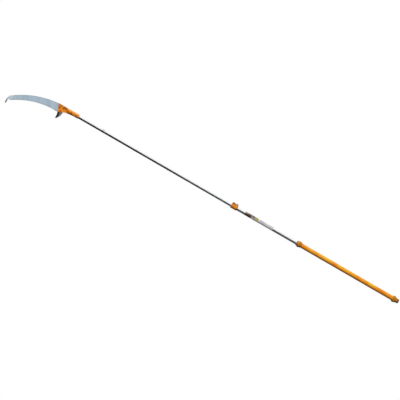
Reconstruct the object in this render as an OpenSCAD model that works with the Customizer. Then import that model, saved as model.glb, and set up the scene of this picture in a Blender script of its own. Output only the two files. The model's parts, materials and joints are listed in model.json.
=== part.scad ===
// Telescoping pole saw, in millimetres.
// The pole lies along +X with its butt end at the origin and the blade at the far end.
// The teeth face +Y, the blade's spine faces -Y and the blade is flat in the XY plane.

/* [Pole] */
// Height of the outer tube's oval section, in the plane of the blade
outer_h = 33; // [31:0.5:36]
// Width of the outer tube's oval section
outer_w = 26; // [25:0.5:28]
// Wall of both tubes
tube_wall = 1.5; // [1.2:0.1:2]
// Gap between the two tubes on each side
slide_gap = 0.5; // [0.4:0.1:0.8]
// Length of the outer tube between the guard ring and the clamp collar
bare_len = 579; // [520:1:700]
// Length of the inner tube that shows when the pole is pulled out
inner_show = 1495; // [1400:1:1700]
// Length of the inner tube that stays inside the outer tube
tube_overlap = 172; // [120:1:260]
// How far the inner tube slides in
slide_travel = 1300; // [900:1:1320]

/* [Butt cap] */
// Length of the tapered nose
nose_len = 37; // [30:1:50]
// Height of the nose at its end, before it is rounded
nose_h = 35; // [32:1:40]
// Height of the nose where it meets the flange
nose_root_h = 45; // [42:1:50]
// Rounding of the nose's end
nose_round = 11; // [6:0.5:12]
// Length of the flange behind the grip
flange_len = 25; // [20:1:36]
// Height of the flange
flange_h = 56; // [52:1:64]
// Distance between the flange's two flats, which the saw rests on
flange_w = 44; // [42:1:46]
// Rounding of the flange's rims
flange_round = 5; // [2:0.5:7]
// Depth of material between the nose's end face and the tube
nose_floor = 24; // [18:1:30]

/* [Grip] */
// Length of the grip sleeve
grip_len = 893; // [600:1:950]
// Wall of the grip sleeve
grip_wall = 3.5; // [2.5:0.5:5]
// Length of the guard ring
ring_len = 49; // [44:1:60]
// Distance from the guard ring's rear end to the middle of its disc
disc_back = 22; // [18:1:26]
// Length of the guard ring's disc
disc_len = 21; // [16:1:24]
// Rake of the disc
disc_rake = 8; // [0:1:10]
// Wall of the guard ring's skirt
skirt_wall = 5; // [4:0.5:7]
// Wall of the guard ring's hub at its front end
hub_wall = 4; // [3:0.5:5]

/* [Label] */
// Distance from the guard ring to the label wrap
label_start = 231; // [40:1:260]
// Length of the label wrap
label_len = 272; // [60:1:300]
// Thickness of the label wrap
label_t = 0.25; // [0.15:0.05:0.4]

/* [Clamp collar] */
// Length of the clamp collar
collar_len = 61; // [58:1:72]
// Length of the collar that sits on the outer tube
collar_seat = 29; // [28:1:31]
// Wall of the collar
collar_wall = 4; // [3.5:0.5:5]
// Lip that holds the guide bush in
lip_len = 2; // [1.5:0.5:3]
// Gap between the guide bush and the inner tube
bush_gap = 0.3; // [0.2:0.05:0.4]
// How far the two ears stand out from the collar
ear_reach = 12.5; // [12:0.5:15]
// Distance from the collar's flat faces to the outside of the ears
ear_inset = 5; // [4.5:0.5:6]
// Length of the ears along the pole
ear_len = 24; // [22:1:26]
// Width of the slot that lets the collar close
slot_w = 2.5; // [1.5:0.5:3.5]
// Distance from the collar's side to the tension bolt
bolt_off = 6.5; // [6:0.5:7.5]
// Diameter of the tension bolt
tension_d = 5; // [4:0.5:5]
// Thickness of the pad under the cam
pad_t = 1.5; // [1:0.5:2]

/* [Clamp lever] */
// Radius of the lever's cam lobes
cam_r = 6.5; // [6:0.25:7]
// How far the cam's centre lies off its pivot
cam_throw = 0.8; // [0.4:0.1:1.2]
// Thickness of the lever's plate
lever_t = 3.5; // [3:0.5:4.5]
// Gap between the closed lever and the collar
lever_gap = 0.4; // [0.3:0.1:0.8]
// Length of the lever along the pole
lever_len = 54; // [50:1:56]
// Diameter of the lever's pin
lever_pin_d = 5; // [4:0.5:5]
// Angle, round the collar, at which the lever's tip ends
lever_tip = 30; // [20:1:45]

/* [Lock button] */
// Distance from the collar's rear face to the lock pin
lock_back = 17; // [15:0.5:17]
// Diameter of the lock pin
lock_pin_d = 6; // [5:0.5:6.5]
// How far the lock pin drops into its hole
lock_drop = 3; // [2:0.5:3]
// Gap between the lifted pin and the inner tube
lock_gap = 0.3; // [0.2:0.1:0.6]
// How far the lock housing stands out from the collar
housing_rise = 6.5; // [6:0.5:8]
// Half of the width of the lock housing
housing_half = 9; // [8:0.5:10]
// Thickness of the lock's cover plate
cover_t = 1.5; // [1.5:0.1:2]
// Thickness of the knob
knob_t = 3.5; // [3:0.5:5]
// Length of the knob along the pole
knob_len = 22; // [18:1:24]
// Wire diameter of the lock spring
wire_d = 0.6; // [0.5:0.05:0.7]

/* [Head] */
// Height of the socket that holds the inner tube
socket_h = 37; // [36:0.5:40]
// Width of the socket
socket_w = 30; // [29:0.5:32]
// Depth of the inner tube in the socket
socket_depth = 99; // [85:1:104]
// How far the head's straight top edge stands above the socket
top_rise = 0.5; // [0:0.5:1.5]
// Distance from the end of the socket's bore to the head's nose
nose_reach = 109; // [107:1:112]
// Distance from the pole's axis to the head's chin
chin_y = 50; // [49:0.5:51]
// Thickness of the near cheek
cheek_t = 5; // [4:0.5:6]
// Thickness of the far cheek
far_cheek_t = 7; // [6:0.5:8]
// Height of the bosses under the bolt heads
near_boss = 2; // [1:0.5:3]
// Height of the bosses under the nuts
far_boss = 4; // [3:0.5:5]
// Diameter of the bosses
boss_d = 19; // [18:0.5:20]

/* [Blade] */
// Thickness of the blade
blade_t = 2; // [1.5:0.1:2.5]
// Radius of the blade's spine
spine_r = 751; // [720:1:790]
// Distance from the pole's axis to the start of the spine's curve
spine_out = 18.3; // [17.6:0.1:18.9]
// Angle that the spine turns through
spine_arc = 37.5; // [34:0.1:38]
// Radius of the line of tooth tips
edge_r = 645; // [630:1:660]
// Width of the blade at its heel
heel_w = 72.3; // [70:0.1:73.5]
// Angle that the line of teeth turns through
edge_arc = 34; // [28:0.1:34.5]
// Spacing of the teeth
tooth_pitch = 4.64; // [3.6:0.02:6]
// Depth of the teeth
tooth_depth = 3.4; // [2.5:0.1:4]
// Outer radius of the hook at the tip
hook_r = 86; // [80:1:92]
// Width of the hook at its root
hook_w = 15; // [12:0.5:16]
// Width of the hook at its end
hook_end_w = 12; // [9:0.5:13]
// Angle that the hook turns through
hook_arc = 46; // [40:1:50]

/* [Sickle] */
// Thickness of the sickle's plate
sickle_t = 3; // [2:0.5:3.5]
// Thickness of the sickle's spine rib
rib_t = 6; // [5:0.5:8]
// Reach of the sickle's tip from the pole's axis
sickle_reach = 107; // [96:1:116]
// Width of the sickle where it leaves the cheeks
sickle_w = 44; // [40:1:46]
// Width of the sickle's spine rib
rib_w = 12; // [9:0.5:13]

/* [Fasteners] */
// Diameter of the blade bolts
bolt_d = 8; // [6:0.5:8]
// Distance across the flats of the blade bolts
bolt_flats = 13; // [12:0.5:14]
// Height of the blade bolts' heads
bolt_head = 5.3; // [4:0.1:6]
// Height of the blade nuts
nut_h = 6.5; // [5:0.1:6.8]
// Thickness of the washers
washer_t = 1.6; // [1:0.1:1.8]
// Diameter of the two socket bolts
cross_d = 6; // [5:0.5:6]
// Distance across the flats of the socket bolts
cross_flats = 10; // [9:0.5:11]
// Height of the socket bolts' heads
cross_head = 4; // [3:0.5:5]
// Height of the socket nuts
cross_nut = 5; // [4:0.5:6]

/* [Hidden] */
$fn = 64;
seat = 0.05;
press = 0.02;
play = 0.3;
bolt_play = 0.25;
past = 1;

// Stations along the pole
grip_x = nose_len + flange_len;
ring_x = grip_x + grip_len;
ring_end = ring_x + ring_len;
label_x = ring_end + label_start;
collar_x = ring_end + bare_len;
outer_end = collar_x + collar_seat;
collar_end = collar_x + collar_len;
lock_x = collar_x + lock_back;
socket_x = collar_end + inner_show;
inner_end = socket_x + socket_depth;
inner_x = outer_end - tube_overlap;
floor_z = -flange_w / 2;

// Sections of the two tubes
bore_h = outer_h - 2 * tube_wall;
bore_w = outer_w - 2 * tube_wall;
inner_h = bore_h - 2 * slide_gap;
inner_w = bore_w - 2 * slide_gap;
core_h = inner_h - 2 * tube_wall;
core_w = inner_w - 2 * tube_wall;
grip_h = outer_h + 2 * grip_wall;
grip_w = outer_w + 2 * grip_wall;

// Half of the distance between the centres of an oval section's round ends
oval_e = (outer_h - outer_w) / 2;
flange_r = flange_h / 2 - oval_e;

// Butt plug and its screw
plug_past = 2;
plug_end = grip_x + plug_past;
butt_screw_x = nose_len + flange_len / 2;
butt_screw_r = 1.75;
butt_screw_in = 8;
butt_head_r = 3.6;
butt_head_t = 2.2;
butt_head_z = outer_w / 2 + 4;
slot_t = 1;

// Inner tube's tail
glide_stem = 30;
glide_rim = 6;
tail_pin_r = 2;
tail_pin_x = inner_x + 17;

// Guard ring, from the middle of its disc
disc_x = ring_x + disc_back;
skirt_r = outer_w / 2 + skirt_wall;
skirt_flare = 1;
skirt_rim = 1.5;
hub_root_r = flange_r - 2;
hub_rim = 3;

// Clamp collar, its ears and its bolt
collar_h = outer_h + 2 * collar_wall;
collar_w = outer_w + 2 * collar_wall;
ear_out = collar_h / 2 + ear_reach;
ear_half = collar_w / 2 - ear_inset;
bolt_out = collar_h / 2 + bolt_off;
collar_rim = 2.5;
ear_back = 3;
ear_round = 3;
ear_x = collar_end - ear_back - ear_len;
bolt_x = ear_x + ear_len / 2;
pivot_z = ear_half + pad_t + seat + cam_r + cam_throw;
slot_back = 2;
tension_r = tension_d / 2;
tension_past = 1;
nut_flats = 8;
tension_nut_h = 5;
eye_r = 5;
eye_w = 6;
pad_inset = 1;
pad_past = 6;
screw_x = collar_x + 6;
screw_y = [-4.5, 4.5];
screw_r = 1.9;
screw_head_r = 3.5;
screw_head_t = 1.6;
screw_seat_z = -collar_w / 2 + screw_head_t + 0.6;

// Clamp lever
lever_back = 2;
lever_x = collar_end - lever_back - lever_len;
lever_round = [7, 3];
lever_rib_r = 0.8;
lever_rib_step = 12;
lever_rib_n = 4;
eye_gap = 0.2;
lever_in = collar_w / 2 + lever_gap;
lever_out = lever_in + lever_t;
pin_r = lever_pin_d / 2;
pin_head_r = pin_r + 1.1;
pin_head_t = 1.2;
pin_past = 1.8;
groove_r = pin_r - 0.5;
clip_x = ear_x + ear_len + play;
clip_t = 0.8;
clip_r = pin_r + 1.5;

// Lock button, measured outwards from the pole's axis
housing_back = 3;
housing_round = 2;
housing_out = collar_h / 2 + housing_rise;
pin_tip = inner_h / 2 + lock_gap;
guide_wall = 1.3;
guide_end = outer_h / 2 + guide_wall;
collar_of_pin = guide_end + 0.2 + lock_drop;
pin_flange_t = 1.5;
pin_flange_r = lock_pin_d / 2 + 1.5;
spring_in = collar_of_pin + pin_flange_t;
spring_bore_r = pin_flange_r + play;
stem_r = 2;
cover_top = housing_out + cover_t;
knob_in = cover_top + lock_drop + play;
knob_out = knob_in + knob_t;
stem_end = knob_in + 1.5;
cover_len = 20;
cover_half = 7.5;
cover_screw_off = 8;
cover_screw_r = 0.9;
cover_screw_in = 4;
cover_head_r = 1.6;
cover_head_t = 1;
coil_r = stem_r + wire_d / 2 + 1.3;
coils = 3;
knob_round = 3;
knob_groove_r = 0.8;
knob_groove_step = 3.5;

// Head: the slanted joint, the cheeks' outline and the bolts, from the end of the socket's bore
head_top = socket_h / 2 + top_rise;
joint_top = [inner_end + 26, -head_top];
joint_foot = [inner_end + 1, socket_h / 2 + 7.5];
joint_dir = (joint_top - joint_foot) / norm(joint_top - joint_foot);
ledge_w = 2.5;
joint_far = 300;
joint_half = 60;
nose_x = inner_end + nose_reach;
cheek_line = [joint_foot, joint_top, [nose_x, -head_top], [nose_x - 30, chin_y],
              [nose_x - 48, chin_y], [nose_x - 61, chin_y - 8], [nose_x - 76, chin_y - 20],
              joint_foot + [14, 2]];
cheek_round = [0, 0, 4, 4, 8, 6, 8, 6];
bolt_at = [[nose_x - 22, 4], [nose_x - 56, -4], [nose_x - 43, 33]];
near_z = blade_t / 2;
far_z = -blade_t / 2;
cross_at = [socket_x + 26, socket_x + 72];
cross_boss_r = 8;
cross_boss = socket_w / 2 + 0.5;
boss_top = near_z + cheek_t + near_boss;
boss_low = far_z - far_cheek_t - far_boss;

// Blade
spine_c = [nose_x - 65, spine_r - spine_out];
edge_out = heel_w - spine_out;
edge_c = [nose_x - 0.5, edge_r + edge_out];
edge_a0 = -89.4;
edge_a1 = edge_a0 + edge_arc;
tooth_n = floor(edge_arc * PI / 180 * edge_r / tooth_pitch);
tooth_a = edge_arc / tooth_n;
tooth_lean = 0.22;
tip = spine_c + spine_r * [sin(spine_arc), -cos(spine_arc)];
hook_a0 = spine_arc - 67.5;
hook_a1 = hook_a0 + 20.6;
hook_a2 = hook_a0 + hook_arc;
hook_c = tip - hook_r * [cos(hook_a0), sin(hook_a0)];
hook_shift = (hook_w - hook_end_w) / sin(hook_a2 - hook_a1);
hook_in_c = hook_c + hook_shift * [-sin(hook_a1), cos(hook_a1)];
hook_in_r = hook_r - hook_w;
tang_top = -head_top + 1.5;
tang_rear = [joint_foot + [ledge_w + 5, -8], [joint_top.x + ledge_w + 1, tang_top]];
tang_under = [[nose_x - 62, 28], [nose_x - 38, chin_y - 2], [nose_x - 24, edge_out]];

// Sickle
sickle_x = nose_x - 29;
sickle_in = 24;
sickle_r = 102;
sickle_drop = 17;
rib_gap = 1.6;
sickle_c = [sickle_x - 6 + sickle_r, sickle_reach - sickle_drop];
sickle_a0 = 180 + asin((sickle_c.y - chin_y - rib_gap) / (sickle_r + rib_w));
sickle_a1 = 180 - asin((sickle_drop - rib_w / 2) / (sickle_r + rib_w / 2));
sickle_tip = on_circle(sickle_c, sickle_r + rib_w / 2, sickle_a1);
sickle_back = sickle_x - sickle_w;

orange = [0.94, 0.52, 0.13];
dark_orange = [0.75, 0.38, 0.08];
silver = [0.80, 0.81, 0.83];
steel = [0.66, 0.71, 0.76];
dark_steel = [0.30, 0.31, 0.33];
black = [0.10, 0.10, 0.11];

// ---- Outlines ----

// Points round one corner p of an outline, with a on one side and b on the other.
function corner(a, p, b, r, n = 8) =
    r == 0 ? [p] :
    let (u = (a - p) / norm(a - p), v = (b - p) / norm(b - p),
         half = acos(u * v) / 2,
         c = p + (u + v) / norm(u + v) * r / sin(half),
         s = p + u * r / tan(half) - c, e = p + v * r / tan(half) - c,
         sa = atan2(s.y, s.x), ea = atan2(e.y, e.x),
         turn = ea - sa > 180 ? ea - sa - 360 : ea - sa < -180 ? ea - sa + 360 : ea - sa)
    [for (i = [0:n]) c + r * [cos(sa + turn * i / n), sin(sa + turn * i / n)]];

// A closed outline with its corners rounded to the given radii.
function rounded(points, radii) =
    let (n = len(points))
    [for (i = [0:n - 1]) each corner(points[(i + n - 1) % n], points[i], points[(i + 1) % n],
                                     radii[i])];

function on_circle(c, r, a) = c + r * [cos(a), sin(a)];

module oval(h, w) {
    square([h - w, w], center = true);
    for (side = [-1, 1]) translate([side * (h - w) / 2, 0]) circle(d = w);
}

module soft_rect(h, w, r) {
    square([h - 2 * r, w], center = true);
    if (w > 2 * r) square([h, w - 2 * r], center = true);
    for (a = [-1, 1], b = [-1, 1]) translate([a * (h / 2 - r), b * (w / 2 - r)]) circle(r = r);
}

// ---- Placing ----

// Extrudes a section drawn as (Y, Z) along the pole.
module along_pole(x, length) {
    translate([x, 0, 0]) rotate([90, 0, 90]) linear_extrude(length) children();
}

// Turns +Z to point out of the spine's side, at a station along the pole.
module out_of_spine(x) {
    translate([x, 0, 0]) rotate([90, 0, 0]) children();
}

// A plate in the blade's plane, from one height to another.
module plate(z0, z1) {
    translate([0, 0, z0]) linear_extrude(z1 - z0) children();
}

module block(low, high) {
    translate(low) cube(high - low);
}

// A cylinder across the pole between two heights.
module post(at, r, z0, z1) {
    translate([at.x, at.y, z0]) cylinder(r = r, h = z1 - z0);
}

module hexagon(at, flats, z0, z1) {
    translate([at.x, at.y, z0]) cylinder(d = flats / cos(30), h = z1 - z0, $fn = 6);
}

// A smooth oval body round the pole. The outline gives its half width at each station, from the
// axis back to the axis, and the body is turned at both round ends and straight between them.
module oval_turned(outline) {
    for (side = [-1, 1]) translate([0, side * oval_e, 0]) rotate([0, 90, 0])
        rotate_extrude() polygon([for (p = outline) [p.y, p.x]]);
    rotate([90, 0, 0]) linear_extrude(2 * oval_e, center = true)
        polygon(concat(outline, [for (i = [len(outline) - 2:-1:1]) [outline[i].x, -outline[i].y]]));
}

// An oval body with straight sides, from one station to another, with soft rims.
module oval_drum(x0, x1, r0, r1, rim0, rim1) {
    oval_turned(rounded([[x0, 0], [x0, r0], [x1, r1], [x1, 0]], [0, rim0, rim1, 0]));
}

// Keeps what lies between the two flats that the saw rests on.
module between_flats(x0, x1) {
    intersection() {
        children();
        block([x0, -flange_h, -flange_w / 2], [x1, flange_h, flange_w / 2]);
    }
}

// ---- Outer pole ----

module outer_tube() {
    color(silver) difference() {
        along_pole(nose_floor, outer_end - nose_floor) oval(outer_h, outer_w);
        along_pole(nose_floor - past, outer_end - nose_floor + 2 * past) oval(bore_h, bore_w);
        out_of_spine(lock_x) cylinder(r = lock_pin_d / 2 + play, h = outer_h);
        for (y = screw_y) post([screw_x, y], screw_r + seat, -outer_w, 0);
        post([butt_screw_x, 0], butt_screw_r + seat, -outer_w, 0);
    }
}

module butt_plug() {
    color(black) difference() {
        along_pole(nose_floor, plug_end - nose_floor) oval(bore_h - 2 * seat, bore_w - 2 * seat);
        post([butt_screw_x, 0], butt_screw_r + press, -outer_w, butt_screw_in - outer_w / 2 + past);
    }
}

module butt_cap() {
    color(dark_orange) difference() {
        between_flats(-past, grip_x + past) {
            oval_drum(0, nose_len + past, nose_h / 2 - oval_e, nose_root_h / 2 - oval_e, nose_round, 0);
            oval_drum(nose_len, grip_x, flange_r, flange_r, flange_round, flange_round);
        }
        along_pole(nose_floor, grip_x) oval(outer_h + 2 * seat, outer_w + 2 * seat);
        post([butt_screw_x, 0], butt_screw_r + seat, floor_z - past, 0);
        post([butt_screw_x, 0], butt_head_r + play, floor_z - past, -butt_head_z);
    }
}

module butt_screw() {
    color(dark_steel) {
        post([butt_screw_x, 0], butt_screw_r, -butt_head_z, butt_screw_in - outer_w / 2);
        difference() {
            post([butt_screw_x, 0], butt_head_r, -butt_head_z - butt_head_t, -butt_head_z);
            for (turn = [0, 90]) translate([butt_screw_x, 0, -butt_head_z - butt_head_t])
                rotate(turn) cube([butt_head_r, slot_t, 2 * slot_t], center = true);
        }
    }
}

module grip_sleeve() {
    color(orange) difference() {
        along_pole(grip_x, grip_len) oval(grip_h, grip_w);
        along_pole(grip_x - past, grip_len + 2 * past) oval(outer_h + 2 * seat, outer_w + 2 * seat);
    }
}

module guard_ring() {
    color(dark_orange) difference() {
        between_flats(ring_x - past, ring_end + past) {
            oval_drum(ring_x, disc_x, skirt_r, skirt_r + skirt_flare, skirt_rim, 0);
            translate([disc_x, 0, 0]) rotate(-disc_rake)
                oval_drum(-disc_len / 2, disc_len / 2, flange_r, flange_r, flange_round, flange_round);
            oval_drum(disc_x, ring_end, hub_root_r, outer_w / 2 + hub_wall, 0, hub_rim);
        }
        along_pole(ring_x - past, ring_len + 2 * past) oval(outer_h + 2 * seat, outer_w + 2 * seat);
    }
}

module label_wrap() {
    color("white") difference() {
        along_pole(label_x, label_len)
            oval(outer_h + 2 * (press + label_t), outer_w + 2 * (press + label_t));
        along_pole(label_x - past, label_len + 2 * past) oval(outer_h + 2 * press, outer_w + 2 * press);
    }
}

// ---- Clamp collar ----

module clamp_collar() {
    color(dark_orange) difference() {
        union() {
            oval_drum(collar_x, collar_end, collar_w / 2, collar_w / 2, collar_rim, collar_rim);
            side_block(ear_x, ear_x + ear_len, ear_out, ear_half, ear_round);
            side_block(collar_x + housing_back, bolt_x, housing_out, housing_half, housing_round);
        }
        along_pole(collar_x - past, collar_len + past - lip_len)
            oval(outer_h + 2 * seat, outer_w + 2 * seat);
        along_pole(collar_x, collar_len + past) oval(inner_h + 4 * bush_gap, inner_w + 4 * bush_gap);
        block([outer_end + slot_back, -ear_out - past, -slot_w / 2],
              [collar_end + past, 0, slot_w / 2]);
        post([bolt_x, -bolt_out], tension_r + bolt_play, -ear_half - past, ear_half + past);
        out_of_spine(lock_x) {
            cylinder(r = lock_pin_d / 2 + seat, h = housing_out);
            translate([0, 0, guide_end]) cylinder(r = spring_bore_r, h = housing_out);
        }
        cover_screw_posts(cover_screw_r + press, housing_out - cover_screw_in, cover_top);
        for (y = screw_y) {
            post([screw_x, y], screw_r + seat, -collar_w, 0);
            post([screw_x, y], screw_head_r + play, -collar_w, screw_seat_z);
        }
    }
}

// A block that stands out from the collar's side, with its outer corners rounded.
module side_block(x0, x1, out, half, r) {
    intersection() {
        along_pole(x0, x1 - x0) translate([-out / 2, 0]) soft_rect(out, 2 * half, r);
        plate(-half, half) polygon(rounded([[x0, 0], [x0, -out], [x1, -out], [x1, 0]], [0, r, r, 0]));
    }
}

module guide_bush() {
    color(black) difference() {
        along_pole(outer_end + play, collar_end - lip_len - outer_end - 2 * play)
            oval(outer_h, outer_w);
        along_pole(outer_end, collar_len) oval(inner_h + 2 * bush_gap, inner_w + 2 * bush_gap);
        block([outer_end, -outer_h, -slot_w / 2], [collar_end, 0, slot_w / 2]);
    }
}

module collar_screws() {
    color(dark_steel) for (y = screw_y) {
        post([screw_x, y], screw_r, screw_seat_z, -bore_w / 2 - 0.1);
        difference() {
            post([screw_x, y], screw_head_r, screw_seat_z - screw_head_t, screw_seat_z);
            for (turn = [0, 90]) translate([screw_x, y, screw_seat_z - screw_head_t])
                rotate(turn) cube([screw_head_r, slot_t, 1.6 * slot_t], center = true);
        }
    }
}

module tension_bolt() {
    color(dark_steel) difference() {
        union() {
            translate([bolt_x - eye_w / 2, -bolt_out, pivot_z]) rotate([0, 90, 0])
                cylinder(r = eye_r, h = eye_w);
            post([bolt_x, -bolt_out], tension_r, -ear_half - tension_nut_h - tension_past,
                 pivot_z - eye_r + past);
        }
        translate([bolt_x - eye_w, -bolt_out, pivot_z]) rotate([0, 90, 0])
            cylinder(r = pin_r + seat, h = 2 * eye_w);
    }
}

module tension_nut() {
    color(dark_steel) difference() {
        hexagon([bolt_x, -bolt_out], nut_flats, -ear_half - tension_nut_h, -ear_half);
        post([bolt_x, -bolt_out], tension_r + press, -ear_half - tension_nut_h - past, 0);
    }
}

module cam_pad() {
    color(black) difference() {
        block([ear_x + pad_inset, -ear_out + pad_inset, ear_half],
              [ear_x + ear_len - pad_inset, -bolt_out + pad_past, ear_half + pad_t]);
        post([bolt_x, -bolt_out], tension_r + bolt_play, 0, ear_half + pad_t + past);
    }
}

// ---- Clamp lever ----

module at_pivot(x, length, r, z_off = 0) {
    translate([x, -bolt_out, pivot_z + z_off]) rotate([0, 90, 0]) cylinder(r = r, h = length);
}

// The lever's bent plate, drawn as (Y, Z): flat over the collar's face, then round its edge.
module lever_section(y0) {
    translate([y0, lever_in]) square([oval_e - y0, lever_t]);
    translate([oval_e, 0]) difference() {
        circle(r = lever_out);
        circle(r = lever_in);
        polygon([[0, 0], [0, 2 * lever_out], [-2 * lever_out, 2 * lever_out],
                 [-2 * lever_out, -2 * lever_out], [2 * lever_out, -2 * lever_out],
                 2 * lever_out * [cos(lever_tip), sin(lever_tip)]]);
    }
    translate(on_circle([oval_e, 0], (lever_in + lever_out) / 2, lever_tip)) circle(d = lever_t);
}

module clamp_lever() {
    color(orange) difference() {
        union() {
            intersection() {
                along_pole(lever_x, lever_len) lever_section(-collar_h / 2 + 1);
                plate(-lever_out, 2 * lever_out)
                    polygon(rounded([[lever_x, -collar_h / 2], [lever_x + lever_len, -collar_h / 2],
                                     [lever_x + lever_len, collar_h], [lever_x, collar_h]],
                                    [lever_round[0], lever_round[1], 0, 0]));
            }
            along_pole(ear_x, ear_len) lever_section(-bolt_out);
            along_pole(lever_x + lever_round[0], lever_len - 2 * lever_round[0])
                for (i = [1:lever_rib_n])
                    translate(on_circle([oval_e, 0], lever_out, lever_tip + lever_rib_step * i))
                        circle(r = lever_rib_r);
            at_pivot(ear_x, ear_len, cam_r, -cam_throw);
        }
        at_pivot(ear_x - past, ear_len + 2 * past, pin_r + press);
        block([bolt_x - eye_w / 2 - eye_gap, -ear_out - cam_r, 0],
              [bolt_x + eye_w / 2 + eye_gap, -bolt_out + cam_r + 1.5, 2 * pivot_z]);
    }
}

module lever_pin() {
    color(dark_steel) difference() {
        union() {
            at_pivot(ear_x, ear_len + pin_past, pin_r);
            at_pivot(ear_x - pin_head_t, pin_head_t, pin_head_r);
        }
        difference() {
            at_pivot(clip_x - press, clip_t + 2 * press, pin_r + past);
            at_pivot(clip_x - past, clip_t + 2 * past, groove_r);
        }
    }
}

module lever_clip() {
    color(steel) difference() {
        at_pivot(clip_x, clip_t, clip_r);
        at_pivot(clip_x - past, clip_t + 2 * past, groove_r + press);
        block([clip_x - past, -bolt_out, pivot_z - groove_r * 0.8],
              [clip_x + clip_t + past, -bolt_out + clip_r + past, pivot_z + groove_r * 0.8]);
    }
}

// ---- Lock button ----

module cover_screw_posts(r, from, to) {
    out_of_spine(lock_x) for (side = [-1, 1]) translate([side * cover_screw_off, 0, from])
        cylinder(r = r, h = to - from);
}

module lock_cover() {
    color(dark_steel) difference() {
        out_of_spine(lock_x) translate([0, 0, housing_out]) linear_extrude(cover_t) difference() {
            soft_rect(cover_len, 2 * cover_half, 1.5);
            circle(r = stem_r + seat);
        }
        cover_screw_posts(cover_screw_r + press, housing_out - past, cover_top + past);
        cover_screw_posts(cover_head_r + press, cover_top - cover_head_t, cover_top + past);
    }
}

module cover_screws() {
    color(steel) {
        cover_screw_posts(cover_screw_r, housing_out - cover_screw_in, cover_top - cover_head_t);
        cover_screw_posts(cover_head_r, cover_top - cover_head_t, cover_top);
    }
}

// A sweep of a round wire up a helix, with a flat turn at each end.
module lock_spring() {
    sides = 6;
    steps = 12;
    rings = steps * (coils + 1);
    rise = housing_out - spring_in - wire_d - 2 * press;
    function lift(i) = min(max(i - steps / 2, 0), rings - steps) / (rings - steps);
    points = [for (i = [0:rings], k = [0:sides - 1])
        let (r = coil_r + wire_d / 2 * cos(360 * k / sides), a = 360 * i / steps)
        [r * cos(a), r * sin(a), rise * lift(i) + wire_d / 2 * sin(360 * k / sides)]];
    walls = [for (i = [0:rings - 1], k = [0:sides - 1])
        let (next = (k + 1) % sides)
        [i * sides + k, i * sides + next, (i + 1) * sides + next, (i + 1) * sides + k]];
    start_cap = [[for (k = [sides - 1:-1:0]) k]];
    end_cap = [[for (k = [0:sides - 1]) rings * sides + k]];
    color(steel) out_of_spine(lock_x) translate([0, 0, spring_in + wire_d / 2 + press])
        polyhedron(points, concat(start_cap, walls, end_cap), convexity = 4);
}

module lock_pin() {
    color(steel) out_of_spine(lock_x) {
        translate([0, 0, pin_tip]) cylinder(d = lock_pin_d, h = collar_of_pin - pin_tip);
        translate([0, 0, collar_of_pin]) cylinder(r = pin_flange_r, h = pin_flange_t);
        translate([0, 0, collar_of_pin]) cylinder(r = stem_r, h = stem_end - collar_of_pin);
    }
}

module lock_knob() {
    color(dark_orange) out_of_spine(lock_x) difference() {
        translate([0, 0, knob_in]) linear_extrude(knob_t)
            soft_rect(knob_len, 2 * cover_half, knob_round);
        translate([0, 0, knob_in - past]) cylinder(r = stem_r + press, h = stem_end - knob_in + past);
        for (i = [-2:2]) translate([i * knob_groove_step, 0, knob_out]) rotate([90, 0, 0])
            cylinder(r = knob_groove_r, h = 4 * cover_half, center = true);
    }
}

// ---- Inner pole ----

module inner_tube() {
    color(silver) difference() {
        along_pole(inner_x, inner_end - inner_x) oval(inner_h, inner_w);
        along_pole(inner_x - past, inner_end - inner_x + 2 * past) oval(core_h, core_w);
        for (x = [lock_x, lock_x + slide_travel]) out_of_spine(x)
            cylinder(r = lock_pin_d / 2 + 2 * play, h = inner_h);
        for (x = cross_at) post([x, 0], cross_d / 2 + bolt_play, -inner_w, inner_w);
        post([tail_pin_x, 0], tail_pin_r + press, -inner_w, inner_w);
    }
}

module tail_glide() {
    color(black) difference() {
        union() {
            along_pole(inner_x, glide_stem) oval(core_h - 2 * seat, core_w - 2 * seat);
            along_pole(inner_x - glide_rim, glide_rim) oval(bore_h - 2 * play, bore_w - 2 * play);
        }
        post([tail_pin_x, 0], tail_pin_r + press, -inner_w, inner_w);
    }
}

module tail_pin() {
    color(steel) post([tail_pin_x, 0], tail_pin_r, -inner_w / 2 + 0.1, inner_w / 2 - 0.1);
}

module head_plug() {
    color(black) difference() {
        along_pole(socket_x + 4, socket_depth - 4) oval(core_h - 2 * seat, core_w - 2 * seat);
        for (x = cross_at) post([x, 0], cross_d / 2 + bolt_play, -inner_w, inner_w);
    }
}

// ---- Head ----

module cheek_outline() {
    polygon(rounded(cheek_line, cheek_round));
}

// The bolts' holes through both cheeks, the blade and the sickle.
module bolt_holes(points, d) {
    for (p = points) post(p, d / 2 + bolt_play, floor_z - past, boss_top + past);
}

module sickle_tang(grow = 0) {
    hull() {
        translate(bolt_at[1]) circle(r = 10 + grow);
        translate(bolt_at[2]) circle(r = 12 + grow);
    }
}

// A region behind the slanted joint, or a band of it when a width is given.
module behind_joint(shift, width = joint_far) {
    polygon([for (p = [[-joint_half, shift], [joint_half, shift], [joint_half, shift - width],
                       [-joint_half, shift - width]])
        joint_foot + joint_dir * p.x + [p.y, 0]]);
}

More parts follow.
